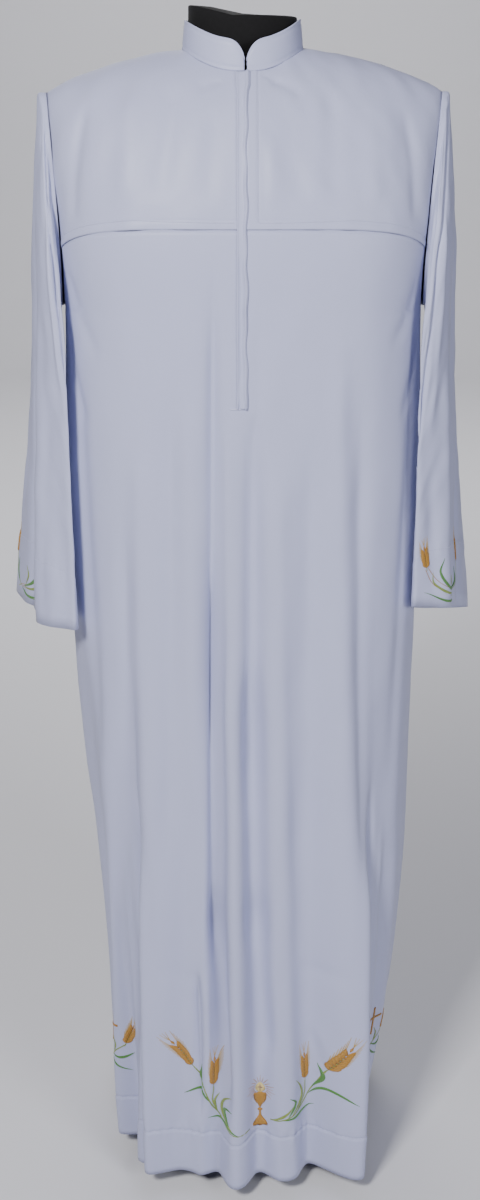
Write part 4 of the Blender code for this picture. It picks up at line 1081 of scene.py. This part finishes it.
# Its relief: a pressed fold at one edge, a soft roll at the other, a valley and two tucks at the end
uneven = 0.75 + 0.25 * np.sin(run * 57.0 + 1.0) + 0.15 * np.sin(run * 131.0)
valley = smooth((0.185 - run) / 0.03) * smooth((run - 0.02) / 0.02)
near_end = smooth((STRIP_END_REACH - run) / STRIP_END_REACH)[:, None]
roll = STRIP_ROLL * swell(share, 0.8, 0.16) * (uneven + 0.6 * tab)[:, None]
relief = STRIP_FOLD * swell(share, 0.07, 0.09) + roll
relief = relief - STRIP_VALLEY * valley[:, None] * swell(share, 0.42, 0.2)
relief = relief - STRIP_TUCK * near_end * (swell(share, 0.24, 0.07) + swell(share, 0.72, 0.07))
relief = relief * (1.0 - smooth((share - 0.88) / 0.12)) + 0.0004 * near_end
points = points + lift[:, None] * (STRIP_LIFT + relief)[..., None]
strip = Cloth(points, x - STRIP_LEFT_X, np.repeat(run[:, None], STRIP_COLUMNS + 1, axis=1))
alb_fly_strip = cloth_shell("alb_fly_strip", strip, cloth_white, STRIP_SHELL)
finish_piece(alb_fly_strip, "placket")


# The form in jersey, and its stand
def form_ring(z):
    """One ring of the form, smaller than the cloth at the same height."""
    turn = np.arange(FORM_AROUND) * 2.0 * np.pi / FORM_AROUND
    across, deep = np.cos(turn), np.sin(turn)
    deep = np.where(np.abs(deep) < 1e-9, 0.0, deep)
    squared = np.copysign(np.abs(across) ** FORM_SQUARING, across)
    if z <= FORM_RINGS[-1][0]:
        wide, front_deep, back_deep = (float(table(FORM_RINGS, z, name)) for name in FORM_RINGS[0][1:])
        y = np.where(deep > 0.0, back_deep, front_deep) * np.abs(deep) ** FORM_SQUARING
        return stack(FORM_X + wide * squared, np.copysign(y, deep), z)
    reach = np.linspace(0.0, FORM_SHOULDER_X, 2000)
    wide = reach[shoulder_z(FRONT_X + reach) - FORM_CLEAR > z].max(initial=0.0)
    off_x = wide * np.abs(across) ** FORM_SQUARING
    is_back = deep > 0.0
    start = np.where(is_back, BACK_ARCH_Z, FRONT_ARCH_Z)
    power = np.where(is_back, BACK_ARCH_POWER, FRONT_ARCH_POWER)
    depth = np.where(is_back, table(RINGS, z, "back") - FORM_BACK_CLEAR,
                     table(RINGS, z, "front") - FORM_FRONT_CLEAR)
    rise = np.clip((z - start) / (shoulder_z(FRONT_X + off_x) - FORM_CLEAR - start), 0.0, 1.0)
    keep = np.maximum(1.0 - (off_x / FORM_FULL_X) ** ROUNDNESS, 0.0) ** (1.0 / ROUNDNESS)
    keep = keep * np.sqrt(np.maximum(1.0 - rise ** power, 0.0))
    ease = np.where(keep > FORM_EDGE_KEEP, np.abs(deep) ** FORM_SIDE_EASE, 1.0)
    y = np.copysign(depth * keep * ease, deep)
    y = np.where(deep == 0.0, 0.0, y)
    return stack(FRONT_X + np.copysign(off_x, across), y, z)


rings = [form_ring(z) for z in np.linspace(FORM_RINGS[1][0], FORM_RINGS[-1][0], 40)]
rings += [form_ring(z) for z in FORM_TOP_LEVELS]
turn = np.arange(FORM_AROUND) * 2.0 * np.pi / FORM_AROUND
neck_levels = np.linspace(FORM_NECK_RINGS[1][0], FORM_NECK_RINGS[-1][0], 14)
for z in neck_levels:
    wide, deep = (float(table(FORM_NECK_RINGS, z, name)) for name in ("half_width", "half_depth"))
    part = (z - neck_levels[0]) / (neck_levels[-1] - neck_levels[0])
    lift = FORM_NECK_RISE * np.maximum(-np.cos(turn) - FORM_NECK_LEVEL_SHARE, 0.0) * part ** 3
    rings.append(stack(FORM_X + wide * np.cos(turn), deep * np.sin(turn) + FORM_NECK_Y, z + lift))
rim = rings[-1]
centre = rim.mean(axis=0)
for inset, rise in FORM_CAP:
    ring = centre + (rim - centre) * inset
    ring[:, 2] = (rim[:, 2] + ring[:, 2]) / 2.0 + rise
    rings.append(ring)
points = np.concatenate(rings + [np.array([[FORM_X, 0.0, FORM_RINGS[1][0]],
                                           [centre[0], centre[1], centre[2] + FORM_NECK_CROWN]])])
bottom, top = len(points) - 2, len(points) - 1
last = bottom - FORM_AROUND
faces = grid_faces(len(rings), FORM_AROUND, wrap=True)
for i in range(FORM_AROUND):
    right = (i + 1) % FORM_AROUND
    faces += [(bottom, right, i), (top, last + i, last + right)]
girth = np.tile(np.arange(FORM_AROUND) * (FORM_GIRTH / FORM_AROUND), len(rings))
lengths = np.concatenate([np.stack([girth, points[:-2, 2]], axis=-1), np.zeros((2, 2))])
form = mesh_piece("form_in_jersey", points, faces, jersey_black, lengths)
finish_piece(form, "form_torso", slot="form_jersey")

for node in ("stand_pole", "stand_base"):
    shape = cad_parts[node]
    shape.data.materials.clear()
    shape.data.materials.append(stand_black)


# Stitching: the pitch, length and half width of a lock stitch, how far its ends sink and its back stands
STITCH_PITCH = 0.003
STITCH_LONG = 0.0021
STITCH_WIDE = 0.00034
STITCH_SUNK = -0.0001
STITCH_PROUD = 0.0003
STITCH_END = 0.4
HEM_ROW = 20
STOP_SHORT = {"hem": 0.006, "yoke": 0.004, "cuff": 0.002}


def stitch_run(name, cloth, across, up):
    """A run of lock stitches along a line on the cloth, each a small rounded thread."""
    run = np.concatenate([[0.0], np.cumsum(np.hypot(np.diff(across), np.diff(up)))])
    places = np.arange(STITCH_PITCH / 2.0, run[-1], STITCH_PITCH)
    ends = [cloth.at(np.interp(places + shift, run, across), np.interp(places + shift, run, up))
            for shift in (-STITCH_LONG / 2.0, 0.0, STITCH_LONG / 2.0)]
    points, faces = [], []
    for index in range(len(places)):
        first, middle, last = (ends[part][0][index] for part in range(3))
        normal = ends[1][1][index]
        along = last - first
        along /= max(np.linalg.norm(along), 1e-9)
        side = np.cross(along, normal)
        base = len(points)
        for spot, rise, size in ((first, STITCH_SUNK, STITCH_END), (lerp(middle, first, 0.6), STITCH_PROUD, 1.0),
                                 (lerp(middle, last, 0.6), STITCH_PROUD, 1.0), (last, STITCH_SUNK, STITCH_END)):
            half = STITCH_WIDE * size
            for aside, high in ((-1.0, 0.0), (0.0, 0.8), (1.0, 0.0)):
                points.append(spot + side * aside * half + normal * (rise + high * half))
        for ring in range(3):
            low = base + ring * 3
            for step in range(3):
                right = (step + 1) % 3
                faces.append((low + step, low + 3 + step, low + 3 + right, low + right))
        faces += [(base, base + 1, base + 2), (base + 11, base + 10, base + 9)]
    return finish_piece(mesh_piece(name, points, faces, thread_white))


def level(from_across, to_across, up):
    return np.linspace(from_across, to_across, 240), np.full(240, up)


for name, cloth in (("front", front), ("back", back)):
    row = cloth.across[HEM_ROW]
    wave = np.linspace(row.min() + STOP_SHORT["hem"], row.max() - STOP_SHORT["hem"], 300)
    stitch_run("alb_hem_stitches_" + name, cloth, wave, hem_line(wave))


# Embroidery: a ribbon's section, as shares of its half width and of its rise
SATIN_ROUND = ((-1.0, -0.12), (-0.62, 0.72), (0.0, 1.0), (0.62, 0.72), (1.0, -0.12), (0.0, -0.35))
SATIN_STEP = 0.0022
SATIN_LEAST_HALF = 0.0011


def smooth_line(anchors, count):
    """A smooth line through anchors on the cloth, as places across and up."""
    anchors = np.array(anchors, dtype=float)
    run = np.concatenate([[0.0], np.cumsum(np.hypot(*np.diff(anchors, axis=0).T))])
    rows = [("run", "across", "up")] + [(r, a, u) for r, (a, u) in zip(run, anchors)]
    places = np.linspace(0.0, run[-1], count)
    return table(rows, places, "across"), table(rows, places, "up")


# An ear of wheat, in metres at size 1: pairs of grains, with how far each goes out and aside
EAR_PAIRS = 7
GRAIN_LONG = 0.0105
GRAIN_ASIDE = 0.005
AWN_LONG = 0.0105
AWN_ASIDE = 0.003
TOP_AWN_LONG = 0.013


class Motif:
    """Satin stitch on one piece of cloth, gathered into one mesh for each colour of floss."""

    def __init__(self, name, cloth):
        self.name, self.cloth, self.colours = name, cloth, {}

    def satin(self, floss, anchors, widths, rise=0.0009, count=None):
        """A padded band of satin stitch: a closed ribbon with a round back, wide as its widths say."""
        length = sum(math.dist(anchors[i], anchors[i + 1]) for i in range(len(anchors) - 1))
        count = count or int(np.clip(length / SATIN_STEP, 5, 26))
        a, u = smooth_line(anchors, count)
        half = np.interp(np.linspace(0.0, 1.0, count), np.linspace(0.0, 1.0, len(widths)), widths)
        da, du = np.gradient(a), np.gradient(u)
        size = np.maximum(np.hypot(da, du), 1e-9)
        across, up, high, side = [], [], [], []
        for share, lift in SATIN_ROUND:
            across.append(a - du / size * half * share)
            up.append(u + da / size * half * share)
            high.append(rise * lift * np.minimum(half / SATIN_LEAST_HALF, 1.0))
            side.append(half * share)
        across, up, high, side = (np.array(values).T for values in (across, up, high, side))
        spots, slopes = self.cloth.at(across, up)
        spots = spots + slopes * high.ravel()[:, None]
        run = np.repeat(np.cumsum(size)[:, None], 6, axis=1)
        points, faces, lengths = self.colours.setdefault(floss.name, (floss, [], [], []))[1:]
        base = sum(len(part) for part in points)
        points.append(spots)
        lengths.append(np.stack([side, run], axis=-1).reshape(-1, 2))
        for row in range(count - 1):
            for step in range(6):
                near, far = base + row * 6 + step, base + row * 6 + (step + 1) % 6
                faces.append((near, near + 6, far + 6, far))
        faces.append(tuple(base + step for step in range(6)))
        faces.append(tuple(base + (count - 1) * 6 + step for step in range(5, -1, -1)))

    def ear(self, base, tip, size=1.0, awns=True):
        """An ear of wheat: paired grains up a stalk, each with a fine awn."""
        base, tip = np.array(base), np.array(tip)
        way = (tip - base) / np.linalg.norm(tip - base)
        aside = np.array([-way[1], way[0]])
        length = np.linalg.norm(tip - base)
        self.satin(floss_moss, [base - way * 0.004, base + way * length * 0.6], [0.0006, 0.0004], 0.0006)
        for pair in range(EAR_PAIRS):
            root = base + way * length * (0.04 + 0.115 * pair)
            for hand in (-1.0, 1.0):
                wide = 1.0 - 0.05 * abs(pair - 2)
                end = root + (way * GRAIN_LONG + aside * hand * GRAIN_ASIDE) * size * wide
                middle = (root + end) / 2.0 + aside * hand * 0.001 * size
                widths = [0.0005, 0.0023 * size, 0.0022 * size, 0.0005]
                self.satin(floss_gold, [root, middle, end], widths, 0.0015)
                if awns:
                    far = end + (way * (AWN_LONG + 0.001 * pair) + aside * hand * AWN_ASIDE) * size
                    self.satin(floss_straw, [end, far], [0.0005, 0.00042, 0.00022], 0.0005)
        end = tip + way * 0.003
        self.satin(floss_gold, [tip - way * 0.005, tip, end], [0.0005, 0.0015 * size, 0.0004], 0.0012)
        if awns:
            for spread in (-0.25, 0.0, 0.25):
                far = end + (way + aside * spread) * TOP_AWN_LONG * size
                self.satin(floss_straw, [end, far], [0.0005, 0.00022], 0.0005)

    def leaf(self, anchors, floss, wide=0.0024):
        self.satin(floss, anchors, [0.0003, wide * 0.6, wide, wide * 0.85, wide * 0.5, 0.0002], 0.001)

    def stem(self, anchors, floss=None, wide=0.001):
        self.satin(floss or floss_moss, anchors, [wide, wide, wide * 0.8], 0.0007)

    def cross(self, middle, tall, wide, floss, half):
        """A plain Latin cross."""
        a, u = middle
        self.satin(floss, [(a, u - tall * 0.62), (a, u + tall * 0.38)], [half, half, half], 0.0013)
        self.satin(floss, [(a - wide / 2.0, u), (a + wide / 2.0, u)], [half, half, half], 0.0014)

    def finish(self):
        for floss, points, faces, lengths in self.colours.values():
            name = self.name + "_" + floss.name.replace("rayon_floss_", "")
            piece = mesh_piece(name, np.concatenate(points), faces, floss, np.concatenate(lengths))
            finish_piece(piece)


hem_motif = Motif("hem_embroidery", front)
a, u = CHALICE_AT
for ray in range(22):
    turn = 2.0 * math.pi * (ray + 0.5) / 22
    reach = 0.0165 + 0.0025 * (ray % 2)
    if math.sin(turn) > -0.72:
        hem_motif.satin(floss_gold, [(a + 0.0088 * math.cos(turn), u + 0.0088 * math.sin(turn)),
                                     (a + reach * math.cos(turn), u + reach * math.sin(turn))],
                        [0.0006, 0.0004, 0.0002], 0.0006)
hem_motif.satin(floss_pale, [(a, u - 0.0078), (a, u), (a, u + 0.0078)],
                [0.0016, 0.0052, 0.007, 0.0078, 0.007, 0.0052, 0.0016], 0.0008, count=15)
hem_motif.cross((a, u + 0.0006), 0.0098, 0.0072, floss_wine, 0.001)
hem_motif.satin(floss_gold, [(a - 0.0005, u - 0.007), (a, u - 0.019), (a, u - 0.031)],
                [0.0092, 0.0098, 0.0094, 0.0084, 0.0064, 0.0034, 0.0016], 0.0015, count=16)
hem_motif.satin(floss_bronze, [(a - 0.0093, u - 0.0098), (a, u - 0.0112), (a + 0.0093, u - 0.0098)],
                [0.0006, 0.0008, 0.0006], 0.0019)
hem_motif.satin(floss_bronze, [(a - 0.0078, u - 0.0178), (a, u - 0.0196), (a + 0.0078, u - 0.0178)],
                [0.0005, 0.0007, 0.0005], 0.0021)
hem_motif.satin(floss_gold, [(a - 0.0036, u - 0.0345), (a + 0.0036, u - 0.0345)], [0.0012, 0.0026, 0.0012], 0.0018)
hem_motif.satin(floss_gold, [(a, u - 0.035), (a + 0.0003, u - 0.047)], [0.002, 0.0018, 0.003], 0.0013)
hem_motif.satin(floss_gold, [(a, u - 0.044), (a + 0.0004, u - 0.0585)],
                [0.0022, 0.005, 0.0088, 0.0108, 0.0104], 0.0013, count=9)
hem_motif.satin(floss_bronze, [(a - 0.01, u - 0.056), (a, u - 0.06), (a + 0.0104, u - 0.055)],
                [0.0006, 0.0011, 0.0006], 0.0017)
for line_of_stem in ([(0.007, 0.112), (-0.02, 0.115), (-0.045, 0.137), (-0.059, 0.176), (-0.072, 0.2)],
                     [(-0.04, 0.131), (-0.047, 0.15), (-0.0455, 0.172)],
                     [(0.036, 0.124), (0.06, 0.13), (0.085, 0.141), (0.101, 0.166), (0.11, 0.194)],
                     [(0.074, 0.135), (0.087, 0.152), (0.0885, 0.174)]):
    hem_motif.stem(line_of_stem)
hem_motif.ear((-0.0735, 0.202), (-0.0985, 0.24), 1.15)
hem_motif.ear((-0.0455, 0.174), (-0.043, 0.214), 1.15)
hem_motif.ear((0.111, 0.196), (0.129, 0.238), 1.15)
hem_motif.ear((0.0885, 0.176), (0.086, 0.216), 1.15)
for anchors, floss in (
        ([(-0.05, 0.148), (-0.064, 0.166), (-0.086, 0.158)], floss_green),
        ([(-0.008, 0.113), (-0.026, 0.121), (-0.052, 0.122)], floss_green),
        ([(-0.013, 0.115), (-0.032, 0.134), (-0.031, 0.152), (-0.021, 0.164)], floss_moss),
        ([(-0.02, 0.12), (-0.029, 0.14), (-0.017, 0.146)], floss_green),
        ([(-0.056, 0.168), (-0.064, 0.186), (-0.062, 0.204)], floss_green),
        ([(-0.04, 0.132), (-0.044, 0.148), (-0.036, 0.16)], floss_moss),
        ([(0.094, 0.15), (0.112, 0.165), (0.137, 0.15)], floss_green),
        ([(0.05, 0.127), (0.078, 0.128), (0.102, 0.134)], floss_green),
        ([(0.063, 0.131), (0.082, 0.152), (0.08, 0.168), (0.07, 0.184)], floss_moss),
        ([(0.058, 0.13), (0.07, 0.15), (0.06, 0.16)], floss_green),
        ([(0.098, 0.16), (0.108, 0.182), (0.103, 0.202)], floss_green),
        ([(0.038, 0.125), (0.056, 0.136), (0.066, 0.146)], floss_moss)):
    hem_motif.leaf(anchors, floss)
hem_motif.finish()

# The side emblems: a plain cross with an ear of wheat and leaves on each hand
for name, (a, u) in SIDE_EMBLEMS.items():
    emblem = Motif("side_embroidery_" + name, front)
    emblem.cross((a, u + 0.018), 0.046, 0.028, floss_gold, 0.0019)
    for hand in (-1.0, 1.0):
        def spots(*pairs):
            return [(a + hand * across, u + up) for across, up in pairs]

        emblem.stem(spots((0.001, -0.034), (0.01, -0.022), (0.02, -0.012)))
        emblem.ear(*spots((0.02, -0.011), (0.031, 0.02)), 0.9)
        emblem.leaf(spots((0.004, -0.03), (0.014, -0.034), (0.028, -0.026)), floss_green)
        emblem.leaf(spots((0.006, -0.028), (0.009, -0.012), (0.004, 0.0)), floss_moss, 0.0014)
        emblem.leaf(spots((0.002, -0.036), (0.01, -0.048), (0.024, -0.056)), floss_green, 0.0016)
    emblem.finish()

# The cuffs: two ears of wheat on thin stems with curled leaves, mirrored from side to side
for name, hand, shift in (("left", 1.0, 0.0), ("right", -1.0, -0.07)):
    cuff = Motif("cuff_embroidery_" + name, sleeves[name][0])

    def place(*spots):
        return [(hand * a + shift, u) for a, u in spots]

    cuff.stem(place((-0.082, 0.06), (-0.066, 0.038), (-0.042, 0.026), (-0.016, 0.02)), floss_gold, 0.0005)
    cuff.stem(place((-0.086, 0.058), (-0.074, 0.034), (-0.052, 0.022), (-0.016, 0.018)), floss_gold, 0.0005)
    cuff.stem(place((-0.016, 0.019), (0.006, 0.03), (0.016, 0.06)), floss_moss, 0.0006)
    cuff.stem(place((-0.016, 0.019), (-0.004, 0.014)), floss_moss, 0.0008)
    ends = place((-0.084, 0.06), (-0.088, 0.094), (0.016, 0.06), (0.019, 0.092))
    cuff.ear(ends[0], ends[1], 1.0)
    cuff.ear(ends[2], ends[3], 0.9)
    for spots, floss, wide in (
            (((-0.026, 0.02), (-0.05, 0.03), (-0.064, 0.052), (-0.058, 0.072)), floss_green, 0.0024),
            (((-0.032, 0.021), (-0.052, 0.022), (-0.073, 0.036), (-0.074, 0.052)), floss_moss, 0.0022),
            (((-0.02, 0.017), (-0.052, 0.01), (-0.088, 0.022)), floss_green, 0.0021),
            (((-0.036, 0.024), (-0.044, 0.04), (-0.038, 0.052)), floss_moss, 0.0015),
            (((-0.01, 0.021), (0.004, 0.034), (0.003, 0.054)), floss_green, 0.0016)):
        cuff.leaf(place(*spots), floss, wide)
    cuff.finish()

# More stitching: the yoke's lower band with the fly's band round a corner, the cuffs and the bartack
yoke = yokes["left"][0]
top = float(yoke.up[:, 20].max()) - 0.003
end = float(yoke.across[4].max()) - STOP_SHORT["yoke"]
corner = np.linspace(0.0, math.pi / 2.0, 12)
across = np.concatenate([np.full(60, FLY_BAND_ACROSS), FLY_BAND_ACROSS + YOKE_CORNER * (1.0 - np.cos(corner)),
                         np.linspace(FLY_BAND_ACROSS + YOKE_CORNER + 0.001, end, 120)])
up = np.concatenate([np.linspace(top, YOKE_STITCH_UP + YOKE_CORNER, 60),
                     YOKE_STITCH_UP + YOKE_CORNER * (1.0 - np.sin(corner)), np.full(120, YOKE_STITCH_UP)])
stitch_run("alb_yoke_stitches_left", yoke, across, up)
yoke = yokes["right"][0]
end = float(yoke.across[4].min()) + STOP_SHORT["yoke"]
stitch_run("alb_yoke_stitches_right", yoke, *level(-0.012, end, YOKE_STITCH_UP))
for name, (sleeve, _) in sleeves.items():
    row = sleeve.across[int(np.argmin(np.abs(sleeve.up[:, 0] - CUFF_STITCH_FROM_EDGE)))]
    stitch_run("alb_cuff_stitches_" + name, sleeve,
               *level(row.min() + STOP_SHORT["cuff"], row.max() - STOP_SHORT["cuff"], CUFF_STITCH_FROM_EDGE))
bartack = Motif("alb_bartack", front)
bartack.satin(thread_white, [(BARTACK_FROM, BARTACK_Z), (BARTACK_TO, BARTACK_Z + 0.0006)],
              [0.0007, 0.0009, 0.0009, 0.0007], 0.0016, count=12)
bartack.finish()

# Camera, light and floor
camera = bpy.data.objects.new("camera", bpy.data.cameras.new("camera"))
camera.location = CAMERA_AT
camera.rotation_euler = (math.radians(CAMERA_TILT_DEG), 0.0, 0.0)
camera.data.lens = CAMERA_LENS
camera.data.sensor_width = CAMERA_SENSOR
camera.data.clip_start = 0.05
bpy.context.scene.collection.objects.link(camera)
bpy.context.scene.camera = camera


def area_light(name, spot, aim, size, power, colour):
    light = bpy.data.lights.new(name, "AREA")
    light.shape = "RECTANGLE"
    light.size, light.size_y = size
    light.energy = power
    light.color = colour
    lamp = bpy.data.objects.new(name, light)
    lamp.location = spot
    lamp.rotation_euler = (Vector(aim) - Vector(spot)).to_track_quat("-Z", "Y").to_euler()
    bpy.context.scene.collection.objects.link(lamp)


area_light("key_softbox", (-1.0, -2.2, 2.6), (0.0, 0.0, 0.9), (0.5, 0.5), 90.0, (1.0, 0.99, 0.985))
area_light("fill_softbox", (1.7, -2.3, 1.7), (0.1, 0.0, 0.85), (0.8, 0.8), 34.0, (0.94, 0.95, 1.0))
area_light("back_softbox", (-0.6, 2.4, 2.6), (0.0, 0.0, 0.9), (1.6, 1.6), 14.0, (1.0, 1.0, 1.0))

paper, paper_tree, paper_shader = new_material("matte_backdrop_paper", "#E2E2E6", 0.9)
grain_place = add_node(paper_tree, "ShaderNodeTexCoord")
grain = add_node(paper_tree, "ShaderNodeTexNoise", {"Vector": grain_place.outputs["Object"]}, Scale=60.0, Detail=3.0)
relief_of(paper_tree, paper_shader, grain.outputs["Fac"], 0.1, 0.001)
bend = np.linspace(0.0, math.pi / 2.0, 16)
sweep_y = np.concatenate([[-SWEEP_HALF_WIDTH, 0.0], SWEEP_BACK_Y + SWEEP_RADIUS * np.sin(bend),
                          [SWEEP_BACK_Y + SWEEP_RADIUS]])
sweep_z = np.concatenate([[0.0, 0.0], SWEEP_RADIUS * (1.0 - np.cos(bend)), [SWEEP_TOP_Z]]) - SWEEP_BELOW
sweep_x = np.tile([-SWEEP_HALF_WIDTH, SWEEP_HALF_WIDTH], len(sweep_y))
points = np.stack([sweep_x, np.repeat(sweep_y, 2), np.repeat(sweep_z, 2)], axis=-1)
floor = mesh_piece("paper_floor", points, grid_faces(len(sweep_y), 2), paper)
area_light("backdrop_softbox", (0.0, 2.8, 3.8), (0.0, 5.6, 0.6), (4.0, 1.2), 170.0, (1.0, 1.0, 1.0))

# A faint cool light from all round
world = bpy.data.worlds.new("soft_studio")
world.use_nodes = True
surround = world.node_tree.nodes["Background"]
surround.inputs["Color"].default_value = linear("#DCDAF2")
surround.inputs["Strength"].default_value = 0.1
bpy.context.scene.world = world
